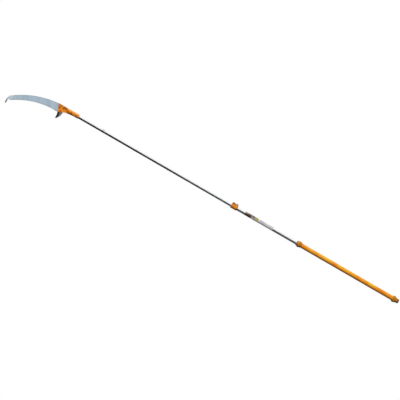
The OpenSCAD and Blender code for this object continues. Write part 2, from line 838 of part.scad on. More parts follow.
module head_socket() {
    color(orange) difference() {
        union() {
            // Sleeve round the tube, with its slanted front end
            intersection() {
                oval_drum(socket_x, joint_top.x + past, socket_w / 2, socket_w / 2, 2.5, 0);
                plate(-socket_w, socket_w) behind_joint(0);
            }
            for (x = cross_at) post([x, 0], cross_boss_r, -cross_boss, cross_boss);
            // Gusset under the sleeve
            plate(far_z - far_cheek_t, near_z + cheek_t)
                polygon([[cross_at[1] - 24, 0], joint_foot + 30 * joint_dir, joint_foot,
                         [cross_at[1] - 24, socket_h / 2]]);
            // Far cheek, its bosses and the ledge behind the blade
            plate(far_z - far_cheek_t, far_z) cheek_outline();
            for (p = bolt_at) post(p, boss_d / 2, boss_low, far_z - far_cheek_t + 1);
            plate(far_z - far_cheek_t, near_z) intersection() {
                cheek_outline();
                behind_joint(ledge_w, 20);
            }
        }
        along_pole(socket_x - past, socket_depth + past + seat)
            oval(inner_h + 2 * seat, inner_w + 2 * seat);
        for (x = cross_at) post([x, 0], cross_d / 2 + bolt_play, -socket_w, socket_w);
        plate(far_z - sickle_t - press, far_z + past) {
            sickle_tang(play);
            sickle_claw(play);
        }
        bolt_holes(bolt_at, bolt_d);
    }
}

module head_cheek() {
    color(orange) difference() {
        union() {
            plate(near_z, near_z + cheek_t) difference() {
                cheek_outline();
                behind_joint(play);
            }
            for (p = bolt_at) post(p, boss_d / 2, near_z + 1, boss_top);
        }
        bolt_holes(bolt_at, bolt_d);
    }
}

module socket_bolts() {
    color(dark_steel) for (x = cross_at) {
        post([x, 0], cross_d / 2, -cross_boss - cross_nut, cross_boss);
        hexagon([x, 0], cross_flats, cross_boss, cross_boss + cross_head);
    }
}

module socket_nuts() {
    color(dark_steel) for (x = cross_at) difference() {
        hexagon([x, 0], cross_flats, -cross_boss - cross_nut, -cross_boss);
        post([x, 0], cross_d / 2 + press, -socket_w, 0);
    }
}

// ---- Blade ----

// The line of teeth and the inside of the hook, closed far out on the side that is cut away.
function toothed_side() = concat(
    [tang_rear[0]], tang_under, [on_circle(edge_c, edge_r, edge_a0 - 0.1)],
    [for (i = [0:tooth_n - 1]) each [
        on_circle(edge_c, edge_r + tooth_depth, edge_a0 + i * tooth_a),
        on_circle(edge_c, edge_r, edge_a0 + (i + tooth_lean) * tooth_a)]],
    corner(on_circle(edge_c, edge_r, edge_a1 - 1), on_circle(hook_c, hook_in_r, hook_a1),
           on_circle(hook_c, hook_in_r, hook_a1 + 10), 5),
    [hook_c + [0, 60], edge_c - [0, edge_r / 2], [tang_rear[0].x, edge_c.y - edge_r / 2]]);

module blade_outline() {
    difference() {
        intersection() {
            translate(spine_c) circle(r = spine_r, $fn = 360);
            union() {
                polygon([tang_rear[0], tang_rear[1], [nose_x - 8, tang_top],
                         spine_c - [0, spine_r + 40], tip + 60 * [cos(hook_a0), sin(hook_a0)],
                         hook_c, [tang_rear[0].x, hook_c.y]]);
                hook_sector(hook_a0 - 5, hook_a1);
            }
        }
        polygon(toothed_side());
    }
}

// The part of the hook's outer circle between two angles.
module hook_sector(a0, a1) {
    intersection() {
        translate(hook_c) circle(r = hook_r, $fn = 180);
        polygon([hook_c, on_circle(hook_c, 2 * hook_r, a0), on_circle(hook_c, 2 * hook_r, a1)]);
    }
}

module hook_outline() {
    difference() {
        hook_sector(hook_a1 - 1, hook_a2);
        translate(hook_in_c) circle(r = hook_in_r, $fn = 180);
    }
    translate(on_circle(hook_c, hook_r - hook_end_w / 2, hook_a2)) circle(d = hook_end_w);
}

module saw_blade() {
    color(steel) difference() {
        plate(-blade_t / 2, blade_t / 2) {
            blade_outline();
            hook_outline();
        }
        bolt_holes(bolt_at, bolt_d);
    }
}

// ---- Sickle ----

// A band along the sickle's hollow front edge, with a round end at the tip.
module sickle_front(width, a0) {
    difference() {
        intersection() {
            translate(sickle_c) circle(r = sickle_r + width, $fn = 180);
            polygon([sickle_c, on_circle(sickle_c, 2 * sickle_r, a0),
                     on_circle(sickle_c, 2 * sickle_r, sickle_a1)]);
        }
        translate(sickle_c) circle(r = sickle_r, $fn = 180);
    }
    translate(on_circle(sickle_c, sickle_r + width / 2, sickle_a1)) circle(d = width);
}

// The claw behind that edge, as far as its sloping rear edge.
module sickle_claw(grow = 0) {
    difference() {
        polygon(rounded([[sickle_x, chin_y - sickle_in], [sickle_x + 6, chin_y], sickle_tip,
                         sickle_tip + rib_w / 2 * [-0.3, 0.95],
                         [sickle_back + 22 - grow, sickle_reach - 11],
                         [sickle_back + 14 - grow, sickle_reach - 22],
                         [sickle_back + 5 - grow, sickle_reach - 40],
                         [sickle_back - grow, chin_y - sickle_in]],
                        [0, 0, 0, 0, 6, 12, 25, 0]));
        translate(sickle_c) circle(r = sickle_r - grow, $fn = 180);
    }
}

module sickle() {
    rib_z = far_z - (sickle_t + rib_t) / 2;
    color(steel) difference() {
        union() {
            plate(far_z - sickle_t, far_z) {
                sickle_tang();
                sickle_claw();
            }
            plate(rib_z, rib_z + rib_t) sickle_front(rib_w, sickle_a0);
        }
        bolt_holes([bolt_at[1], bolt_at[2]], bolt_d);
    }
}

// ---- Blade bolts ----

module blade_bolts() {
    color(dark_steel) for (p = bolt_at) {
        post(p, bolt_d / 2, floor_z, boss_top);
        hexagon(p, bolt_flats, boss_top, boss_top + bolt_head);
    }
}

module blade_washers() {
    color(steel) for (p = bolt_at) difference() {
        post(p, boss_d / 2 - 1, boss_low - washer_t, boss_low);
        post(p, bolt_d / 2 + bolt_play, floor_z, 0);
    }
}

module blade_nuts() {
    color(dark_steel) for (p = bolt_at) difference() {
        hexagon(p, bolt_flats, boss_low - washer_t - nut_h, boss_low - washer_t);
        post(p, bolt_d / 2 + press, floor_z - past, 0);
    }
}

outer_tube();
butt_plug();
butt_cap();
butt_screw();
grip_sleeve();
guard_ring();
label_wrap();
clamp_collar();
guide_bush();
collar_screws();
tension_bolt();
tension_nut();
cam_pad();
clamp_lever();
lever_pin();
lever_clip();
lock_cover();
cover_screws();
lock_spring();
lock_pin();
lock_knob();
inner_tube();
tail_glide();
tail_pin();
head_plug();
head_socket();
head_cheek();
socket_bolts();
socket_nuts();
saw_blade();
sickle();
blade_bolts();
blade_washers();
blade_nuts();
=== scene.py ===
"""Finishes, detailed pieces, light and camera of a telescoping pole saw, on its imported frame.

All places are in metres, in the frame's axes: the pole lies along +X, the teeth face +Y and the
side that shows the bolt heads faces +Z.
"""

import json
import logging
import math
from dataclasses import dataclass
from enum import Enum
from typing import Mapping, Sequence, Union

import bmesh
import bpy
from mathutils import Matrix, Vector
from mathutils.geometry import tessellate_polygon


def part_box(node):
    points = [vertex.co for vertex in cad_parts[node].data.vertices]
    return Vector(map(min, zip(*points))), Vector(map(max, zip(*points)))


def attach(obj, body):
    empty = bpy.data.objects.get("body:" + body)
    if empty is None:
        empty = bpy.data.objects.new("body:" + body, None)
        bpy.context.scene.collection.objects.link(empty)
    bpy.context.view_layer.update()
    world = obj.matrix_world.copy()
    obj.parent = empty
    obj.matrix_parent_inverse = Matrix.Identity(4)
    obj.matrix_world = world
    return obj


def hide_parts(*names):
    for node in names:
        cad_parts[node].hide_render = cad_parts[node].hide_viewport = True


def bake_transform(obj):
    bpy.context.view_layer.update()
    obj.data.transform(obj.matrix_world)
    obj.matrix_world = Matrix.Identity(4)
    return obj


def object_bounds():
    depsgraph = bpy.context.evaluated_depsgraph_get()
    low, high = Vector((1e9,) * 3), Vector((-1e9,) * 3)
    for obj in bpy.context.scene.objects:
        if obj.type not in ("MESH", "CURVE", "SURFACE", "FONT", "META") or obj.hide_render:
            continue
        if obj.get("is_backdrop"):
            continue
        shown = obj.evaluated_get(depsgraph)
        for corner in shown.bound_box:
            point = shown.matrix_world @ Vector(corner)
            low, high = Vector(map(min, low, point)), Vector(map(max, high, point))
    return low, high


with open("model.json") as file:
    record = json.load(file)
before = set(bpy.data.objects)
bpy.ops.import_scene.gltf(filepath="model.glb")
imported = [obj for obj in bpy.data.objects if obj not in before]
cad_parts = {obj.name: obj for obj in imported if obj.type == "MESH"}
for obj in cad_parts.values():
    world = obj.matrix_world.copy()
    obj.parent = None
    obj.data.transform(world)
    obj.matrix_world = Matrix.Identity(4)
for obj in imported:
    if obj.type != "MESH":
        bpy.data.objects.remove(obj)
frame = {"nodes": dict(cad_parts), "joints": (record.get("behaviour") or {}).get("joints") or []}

LOG = logging.getLogger("pole_saw")
MM = 0.001
SAME_POINT = 0.001 * MM  # points that are closer than this are one
PAST_TIP = 9.0  # along X, past the end of the blade
PAST_SIDES = 40 * MM  # along Y and Z, past the sides of the pole
WHITE = (1.0, 1.0, 1.0)

Pair = tuple[float, float]
Triple = tuple[float, float, float]
Colour = Triple
Place = Triple
Span = Pair  # where something starts, and where it is full
Arc = tuple[Place, float]  # a centre and a radius
Term = Union[float, Triple, "Wire"]


class Body(str, Enum):
    """The bodies that pieces ride on."""

    POLE = "pole"
    HEAD = "head"
    BUTTON = "button"


class Slot(str, Enum):
    """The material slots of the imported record."""

    ORANGE_PLASTIC = "orange_plastic"
    DARK_ORANGE_PLASTIC = "dark_orange_plastic"
    ORANGE_GRIP = "orange_grip"
    TUBE_ALUMINIUM = "tube_aluminium"
    LABEL_FILM = "label_film"
    BLADE_STEEL = "blade_steel"
    SICKLE_STEEL = "sickle_steel"
    BLACK_NYLON = "black_nylon"
    DARK_STEEL = "dark_steel"
    ZINC_STEEL = "zinc_steel"
    YELLOW_ZINC = "yellow_zinc"


def rgb(red: float, green: float, blue: float) -> Colour:
    """Turns a colour written on the usual 0 to 255 scale into the linear values that nodes take.

    Args:
        red: how red it is.
        green: how green.
        blue: how blue.

    Returns:
        The colour in linear values.
    """
    def linear(value: float) -> float:
        """One channel, by the standard curve of screens."""
        share = value / 255
        return share / 12.92 if share <= 0.04045 else ((share + 0.055) / 1.055) ** 2.4
    return linear(red), linear(green), linear(blue)


# ---- Shader nodes ----


class Wire:
    """An output of a shader node that takes part in sums as a number does."""

    def __init__(self, tree: "Tree", socket: bpy.types.NodeSocket) -> None:
        """Keeps the socket and the tree that it is in."""
        self.tree = tree
        self.socket = socket

    def _math(self, operation: str, *terms: Term) -> "Wire":
        """Adds a Math node on the given terms."""
        return self.tree.node("ShaderNodeMath", {"operation": operation}, dict(enumerate(terms)))

    def __add__(self, other: Term) -> "Wire":
        """self + other."""
        return self._math("ADD", self, other)

    def __radd__(self, other: Term) -> "Wire":
        """other + self."""
        return self._math("ADD", other, self)

    def __sub__(self, other: Term) -> "Wire":
        """self - other."""
        return self._math("SUBTRACT", self, other)

    def __rsub__(self, other: Term) -> "Wire":
        """other - self."""
        return self._math("SUBTRACT", other, self)

    def __mul__(self, other: Term) -> "Wire":
        """self * other."""
        return self._math("MULTIPLY", self, other)

    def __rmul__(self, other: Term) -> "Wire":
        """other * self."""
        return self._math("MULTIPLY", other, self)

    def __truediv__(self, other: Term) -> "Wire":
        """self / other."""
        return self._math("DIVIDE", self, other)

    def __rtruediv__(self, other: Term) -> "Wire":
        """other / self."""
        return self._math("DIVIDE", other, self)

    def sine(self) -> "Wire":
        """The sine of self, in radians."""
        return self._math("SINE", self)

    def at_most(self, other: Term) -> "Wire":
        """The smaller of self and other."""
        return self._math("MINIMUM", self, other)

    def at_least(self, other: Term) -> "Wire":
        """The larger of self and other."""
        return self._math("MAXIMUM", self, other)

    def swing(self, width: float) -> "Wire":
        """Turns noise from 0 to 1 into a swing about 0."""
        return (self - 0.5) * width

    def step(self, low: float, high: float) -> "Wire":
        """Rises softly from 0 at low to 1 at high, or falls where low is above high."""
        return self.tree.node("ShaderNodeMapRange", {"interpolation_type": "SMOOTHSTEP"},
                              {"Value": self, "From Min": low, "From Max": high})

    def sibling(self, name: str) -> "Wire":
        """Another output of the same node."""
        return Wire(self.tree, self.socket.node.outputs[name])


class Tree:
    """The nodes of one material, or of the world."""

    RAYS = 6  # for each rounded edge or crevice
    EDGE_COSINES = (0.995, 0.86)  # between the rounded and the flat normal: open face, hard edge
    MIX_LOW, MIX_HIGH, MIX_RESULT = 6, 7, 2  # a Mix node's sockets for colours

    def __init__(self, nodes: bpy.types.NodeTree) -> None:
        """Starts from an empty tree."""
        nodes.nodes.clear()
        self.nodes = nodes

    def node(self, kind: str, settings: Mapping[str, object] | None = None,
             sockets: Mapping[str | int, Term] | None = None, output: str | int = 0) -> Wire:
        """Adds a node.

        Args:
            kind: the node's type.
            settings: its properties, which are set first.
            sockets: a value or a wire for each input that is named or numbered.
            output: the output to give back.

        Returns:
            The wire from that output, or one without a socket if the node has no outputs.
        """
        made = self.nodes.nodes.new(kind)
        for name, value in (settings or {}).items():
            setattr(made, name, value)
        for key, value in (sockets or {}).items():
            self._feed(made.inputs[key], value)
        return Wire(self, made.outputs[output] if len(made.outputs) else None)

    def _feed(self, socket: bpy.types.NodeSocket, value: Term) -> None:
        """Links a wire to a socket, or sets the socket's own value.

        Args:
            socket: the input.
            value: what it gets.
        """
        if isinstance(value, Wire):
            self.nodes.links.new(value.socket, socket)
        elif socket.type == "RGBA":
            socket.default_value = (*value, 1.0)
        else:
            socket.default_value = value

    def place(self) -> Wire:
        """Where a point lies in the frame at rest, in metres."""
        return self.node("ShaderNodeTexCoord", output="Object")

    def parts(self, vector: Wire) -> tuple[Wire, Wire, Wire]:
        """The X, Y and Z of a vector."""
        x = self.node("ShaderNodeSeparateXYZ", {}, {"Vector": vector})
        return x, x.sibling("Y"), x.sibling("Z")

    def vectors(self, operation: str, first: Wire, second: Term,
                output: str | int = "Value") -> Wire:
        """Adds a Vector Math node on two vectors."""
        return self.node("ShaderNodeVectorMath", {"operation": operation},
                         {0: first, 1: second}, output)

    def stretched(self, vector: Wire, factors: Triple) -> Wire:
        """A vector with each of its parts multiplied."""
        return self.vectors("MULTIPLY", vector, factors, 0)

    def length_from(self, vector: Wire, centre: Place) -> Wire:
        """How far a vector's end lies from a point."""
        return self.vectors("DISTANCE", vector, centre)

    def noise(self, vector: Wire, scale: float, detail: float) -> Wire:
        """Soft noise from 0 to 1, about as coarse as 1 / scale."""
        return self.node("ShaderNodeTexNoise", {}, {"Vector": vector, "Scale": scale,
                                                    "Detail": detail})

    def blend(self, factor: Term, low: Term, high: Term) -> Wire:
        """Mixes two colours, from low at 0 to high at 1."""
        return self.node("ShaderNodeMix", {"data_type": "RGBA"},
                         {0: factor, self.MIX_LOW: low, self.MIX_HIGH: high}, self.MIX_RESULT)

    def rounded(self, radius: float) -> Wire:
        """The surface's normal, with its edges rounded."""
        return self.node("ShaderNodeBevel", {"samples": self.RAYS}, {"Radius": radius})

    def edges(self, radius: float) -> Wire:
        """1 on hard edges, as far from them as radius, and 0 on open faces."""
        flat = self.node("ShaderNodeNewGeometry", output="True Normal")
        return self.vectors("DOT_PRODUCT", self.rounded(radius), flat).step(*self.EDGE_COSINES)

    def crevice(self, reach: float) -> Wire:
        """1 far into a corner or a slot and 0 in the open, found by ambient occlusion."""
        return 1 - self.node("ShaderNodeAmbientOcclusion", {"samples": self.RAYS},
                             {"Distance": reach}, "AO")

    def bump(self, height: Wire, depth: float, normal: Wire | None = None) -> Wire:
        """The normal of a surface that rises by depth where height is 1."""
        base = {"Normal": normal} if normal else {}
        return self.node("ShaderNodeBump", {}, {"Height": height, "Distance": depth, **base})

    def glow(self, colour: Term, strength: float = 1.0) -> Wire:
        """Adds a surface that shines by itself."""
        return self.node("ShaderNodeEmission", {}, {"Color": colour, "Strength": strength})

    def end(self, surface: Wire, kind: str = "ShaderNodeOutputMaterial") -> None:
        """Ends the tree in its output."""
        self.node(kind, {}, {"Surface": surface})

    def surface(self, **sockets: Term) -> None:
        """Ends a material in its shader. Names of sockets are written with _ for spaces."""
        named = {key.replace("_", " "): value for key, value in sockets.items()}
        self.end(self.node("ShaderNodeBsdfPrincipled", {}, named))


def new_material(name: str) -> tuple[bpy.types.Material, Tree]:
    """Makes an empty material.

    Args:
        name: what it is called.

    Returns:
        The material and its tree.
    """
    made = bpy.data.materials.new(name)
    made.use_nodes = True
    return made, Tree(made.node_tree)


# ---- Finishes ----


@dataclass(frozen=True)
class Mottle:
    """Soft noise over a surface, and the part of it that shows as patches.

    There are about scale blotches to a metre, or a number of them for each of X, Y and Z, with
    layers of finer ones in them. Patches show where the noise rises through a span.
    """

    scale: float | Triple
    layers: float = 2.0
    patch: Span = (0.5, 0.8)

    def over(self, place: Wire) -> Wire:
        """Lays the noise over a surface.

        Args:
            place: where the surface's points lie.

        Returns:
            The noise, from 0 to 1.
        """
        if isinstance(self.scale, float):
            return place.tree.noise(place, self.scale, self.layers)
        return place.tree.noise(place.tree.stretched(place, self.scale), 1.0, self.layers)

    def patches(self, noise: Wire) -> Wire:
        """1 in the noise's patches and 0 between them."""
        return noise.step(*self.patch)


@dataclass(frozen=True)
class Finish:
    """What a surface is made of. Each kind says how it is painted."""

    slot: Slot

    def paint(self, tree: Tree) -> None:
        """Fills the material's tree."""
        raise NotImplementedError

    def material(self) -> bpy.types.Material:
        """Gives the finish's material, which is made the first time that it is asked for.

        Returns:
            The material.
        """
        name = f"{self.slot.value}_finish"
        found = bpy.data.materials.get(name)
        if found is None:
            found, tree = new_material(name)
            self.paint(tree)
        return found


@dataclass(frozen=True)
class SideShade:
    """Painted shade that deepens along Y over a span towards the teeth's side, on the pole behind
    its end.

    Where it climbs, it moves towards the spine over a span along X, and the plastic on the
    teeth's side of it is left unshaded from there on.
    """

    span: Span
    share: float = 0.64
    swing: float = 0.3
    end: float = PAST_TIP
    soft: float = 20 * MM
    climb: Span | None = None
    rise: float = 18 * MM
    unshaded_after: Span = (1 * MM, 9 * MM)

    def over(self, x: Wire, y: Wire) -> Wire:
        """Finds the painted shade.

        Args:
            x: the place along the pole.
            y: the place across it.

        Returns:
            How far a place is into the painted shade, from 0 to 1.
        """
        unshaded: Term = 0.0
        if self.climb:
            start, full = self.climb[0], self.span[1]
            y = y + x.step(*self.climb) * self.rise
            past = y.step(full + self.unshaded_after[0], full + self.unshaded_after[1])
            unshaded = x.step(start - self.soft, start + self.soft) * past
        return y.step(*self.span) * (1 - unshaded) * x.step(self.end, self.end - self.soft)


@dataclass(frozen=True)
class Darkening:
    """A box of darker colour between two corners, how softly its sides end, and its share; some are
    painted shade.
    """

    low: Place
    high: Place
    soft: float
    share: float

    @classmethod
    def across(cls, start: float, end: float, soft: float, share: float,
               spine: float = -PAST_SIDES, teeth: float = PAST_SIDES) -> "Darkening":
        """Makes a darker box through the pole's whole depth.

        Args:
            start: its end towards the butt.
            end: its end towards the blade.
            soft: how softly its sides end.
            share: its share.
            spine: its end on the spine's side.
            teeth: its end on the teeth's side.

        Returns:
            The box.
        """
        return cls((start, spine, -PAST_SIDES), (end, teeth, PAST_SIDES), soft, share)

    def over(self, at: Sequence[Wire]) -> Wire:
        """Finds the darker box.

        Args:
            at: the X, Y and Z of a place.

        Returns:
            The box's share of darker colour there.
        """
        inside: Term = 1.0
        for value, start, end in zip(at, self.low, self.high):
            inside = inside * value.step(start - self.soft, start + self.soft)
            inside = inside * value.step(end + self.soft, end - self.soft)
        return inside * self.share


@dataclass(frozen=True)
class MouldedPlastic(Finish):
    """Glass-filled plastic with a fine spark texture.

    It is scuffed pale along its edges, with painted shade in its corners and towards the teeth's
    side, a painted highlight on the spine's side where it is asked for, and boxes of darker colour.
    """

    colour: Colour
    shade: Colour
    scuff: Colour
    # painted shade towards the teeth's side
    side_shade: SideShade
    darkening: Colour
    darkenings: tuple[Darkening, ...]
    # the share of the painted highlight on the spine's side
    painted_highlight: float = 0.0
    # the colour of the painted shade in corners and towards the teeth's side
    painted_shade: Colour = rgb(70, 34, 8)
    roughness: float = 0.42
    gloss: float = 0.25
    cloud: Mottle = Mottle(24.0, 3.0, (0.35, 0.70))
    fleck: Mottle = Mottle(420.0, 3.0, (0.40, 0.62))
    grain: Mottle = Mottle(2400.0)
    grain_depth: float = 0.03 * MM
    fleck_roughness: float = 0.18
    scuff_roughness: float = 0.22
    scuff_width: float = 0.7 * MM
    scuff_share: float = 0.55
    edge_radius: float = 1.2 * MM
    corner_reach: float = 5 * MM
    corner_span: Span = (0.25, 0.85)
    corner_share: float = 0.75
    highlight_span: Span = (-7 * MM, -19 * MM)

    def paint(self, tree: Tree) -> None:
        """Fills the material's tree.

        Args:
            tree: where the nodes go.
        """
        place = tree.place()
        x, y, z = tree.parts(place)
        cloud, fleck = self.cloud.over(place), self.fleck.over(place)
        scuffed = tree.edges(self.scuff_width) * self.fleck.patches(fleck)
        # painted shade in corners and slots, found by ambient occlusion
        corner_shade = tree.crevice(self.corner_reach).step(*self.corner_span) * self.corner_share
        # painted shade that deepens towards the teeth's side
        side_shaded = self.side_shade.over(x, y) * (self.side_shade.share + cloud.swing(self.side_shade.swing))
        colour = tree.blend(self.cloud.patches(cloud), self.colour, self.shade)
        colour = tree.blend(corner_shade, colour, self.painted_shade)
        colour = tree.blend(side_shaded, colour, self.painted_shade)
        # boxes of darker colour, of which some are painted shade
        for darkening in self.darkenings:
            colour = tree.blend(darkening.over((x, y, z)), colour, self.darkening)
        # painted highlight: paler towards the spine's side, in the scuff colour
        colour = tree.blend(y.step(*self.highlight_span) * self.painted_highlight, colour, self.scuff)
        colour = tree.blend(scuffed * self.scuff_share, colour, self.scuff)
        dull = self.roughness + fleck.swing(self.fleck_roughness)
        tree.surface(
            Base_Color=colour,
            Roughness=dull + scuffed * self.scuff_roughness,
            Specular_IOR_Level=self.gloss,
            Normal=tree.bump(self.grain.over(place), self.grain_depth,
                             tree.rounded(self.edge_radius)),
        )


@dataclass(frozen=True)
class GripRubber(Finish):
    """A soft rubber sleeve with shallow slanted ribs, handled smooth in places, with painted shade
    on its teeth side.
    """

    colour: Colour
    shade: Colour
    pale: Colour
    redder_shade: Colour
    groove: Colour
    roughness: float = 0.50
    gloss: float = 0.22
    hue: Mottle = Mottle((9.0, 4.0, 4.0), 3.0, (0.38, 0.62))
    rubbed: Mottle = Mottle((16.0, 60.0, 60.0), 3.0, (0.55, 0.80))
    fleck: Mottle = Mottle(900.0)
    rib_pitch: float = 6 * MM
    rib_slant: float = 0.6
    rib_sides: Span = (-0.6, 0.6)
    rib_depth: float = 0.18 * MM
    rib_share: float = 0.85
    groove_share: float = 0.10
    rubbed_share: float = 0.35
    redder_shade_span: Span = (-6 * MM, 18 * MM)
    polished_span: Span = (0.5, 0.8)
    polish: float = 0.10
    fleck_roughness: float = 0.14

    def paint(self, tree: Tree) -> None:
        """Fills the material's tree.

        Args:
            tree: where the nodes go.
        """
        place = tree.place()
        x, y, _ = tree.parts(place)
        hue, rubbed = self.hue.over(place), self.rubbed.over(place)
        fleck = self.fleck.over(place)
        turns = (x + y * self.rib_slant) * (2 * math.pi / self.rib_pitch)
        rib = turns.sine().step(*self.rib_sides)
        colour = tree.blend(self.hue.patches(hue), self.colour, self.shade)
        colour = tree.blend(self.rubbed.patches(rubbed) * self.rubbed_share, colour, self.pale)
        colour = tree.blend((1 - rib) * self.groove_share, colour, self.groove)
        # painted shade: redder and darker towards the teeth's side
        colour = tree.blend(y.step(*self.redder_shade_span), colour, self.redder_shade)
        dull = self.roughness + fleck.swing(self.fleck_roughness)
        tree.surface(
            Base_Color=colour,
            Roughness=dull - rubbed.step(*self.polished_span) * self.polish,
            Specular_IOR_Level=self.gloss,
            Normal=tree.bump(rib * self.rib_share + fleck * (1 - self.rib_share), self.rib_depth),
        )


@dataclass(frozen=True)
class DrawnTube(Finish):
    """Bright anodised aluminium with fine drawing lines, darkened round its lock hole."""

    colour: Colour
    shade: Colour
    dark: Colour
    hole: Place
    roughness: float = 0.12
    lines: Mottle = Mottle((2.5, 900.0, 900.0), 4.0, (0.3, 0.7))
    cloud: Mottle = Mottle((5.0, 30.0, 30.0), 3.0, (0.45, 0.65))
    scratches: Mottle = Mottle((14.0, 2600.0, 2600.0), 2.0, (0.62, 0.72))
    line_depth: float = 0.004 * MM
    line_share: float = 0.6
    line_roughness: float = 0.10
    scratch_roughness: float = 0.12
    mark_span: Span = (14 * MM, 9 * MM)
    mark_swing: float = 6 * MM
    mark_share: float = 0.9

    def paint(self, tree: Tree) -> None:
        """Fills the material's tree.

        Args:
            tree: where the nodes go.
        """
        place = tree.place()
        lines, cloud = self.lines.over(place), self.cloud.over(place)
        scratched = self.scratches.patches(self.scratches.over(place)) * self.cloud.patches(cloud)
        drawn = self.lines.patches(lines) * self.line_share
        colour = tree.blend(drawn + scratched * (1 - self.line_share), self.colour, self.shade)
        from_hole = tree.length_from(place, self.hole) + cloud.swing(self.mark_swing)
        marked = from_hole.step(*self.mark_span) * self.mark_share
        dull = self.roughness + lines.swing(self.line_roughness)
        tree.surface(
            Base_Color=tree.blend(marked, colour, self.dark),
            Metallic=1.0,
            Roughness=dull + scratched * self.scratch_roughness,
            Normal=tree.bump(lines, self.line_depth),
        )


@dataclass(frozen=True)
class LabelFilm(Finish):
    """A plain printed film in bands of colour, satin and slightly rubbed.

    Each band is the share of the label's length at which it ends, counted from the butt, and
    its colour. A dark streak crosses the label on a slant, a dark patch lies on the spine's side
    next to it, and the teeth's side has worn pale. Spans along the label are shares of its
    length, and spans across it are places along Y.
    """

    bands: tuple[tuple[float, Colour], ...]
    pale: Colour
    dark: Colour
    rubbed_colour: Colour
    roughness: float = 0.34
    band_soft: float = 0.008
    ragged: Mottle = Mottle((60.0, 60.0, 60.0), 1.0)
    ragged_width: float = 14 * MM
    streak_at: float = 0.905
    streak_across: float = -8 * MM
    streak_slant: float = 3.7
    streak_soft: float = 10 * MM
    streak_start: Span = (0.765, 0.80)
    patch_start: Span = (0.64, 0.67)
    patch_end: Span = (0.785, 0.75)
    patch_side: Span = (6 * MM, -7 * MM)
    patch_share: float = 0.7
    worn_start: Span = (0.30, 0.40)
    worn_end: Span = (0.82, 0.72)
    worn_side: Span = (0.0, 9 * MM)
    worn_share: float = 0.8
    rubbed: Mottle = Mottle((12.0, 300.0, 300.0), 3.0, (0.60, 0.80))
    rubbed_share: float = 0.25
    rubbed_roughness: float = 0.16
    grain: Mottle = Mottle(500.0)
    grain_depth: float = 0.01 * MM

    def paint(self, tree: Tree) -> None:
        """Fills the material's tree.

        Args:
            tree: where the nodes go.
        """
        low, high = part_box("label_wrap")
        length = high.x - low.x
        place = tree.place()
        x, y, _ = tree.parts(place)
        along = (x - low.x) / length
        colour = self.bands[0][1]
        for (edge, _), (_, following) in zip(self.bands, self.bands[1:]):
            colour = tree.blend(along.step(edge - self.band_soft, edge + self.band_soft), colour,
                                following)
        slant = (along - self.streak_at) * length - (y - self.streak_across) * self.streak_slant
        edge = slant + self.ragged.over(place).swing(self.ragged_width)
        streak = edge.step(self.streak_soft, -self.streak_soft) * along.step(*self.streak_start)
        colour = tree.blend(streak, colour, self.dark)
        patch = along.step(*self.patch_start) * along.step(*self.patch_end)
        colour = tree.blend(patch * y.step(*self.patch_side) * self.patch_share, colour, self.dark)
        worn = y.step(*self.worn_side) * along.step(*self.worn_start) * along.step(*self.worn_end)
        colour = tree.blend(worn * self.worn_share, colour, self.pale)
        rubbed = self.rubbed.over(place)
        tree.surface(
            Base_Color=tree.blend(self.rubbed.patches(rubbed) * self.rubbed_share, colour,
                                  self.rubbed_colour),
            Roughness=self.roughness + rubbed * self.rubbed_roughness,
            Normal=tree.bump(self.grain.over(place), self.grain_depth),
        )


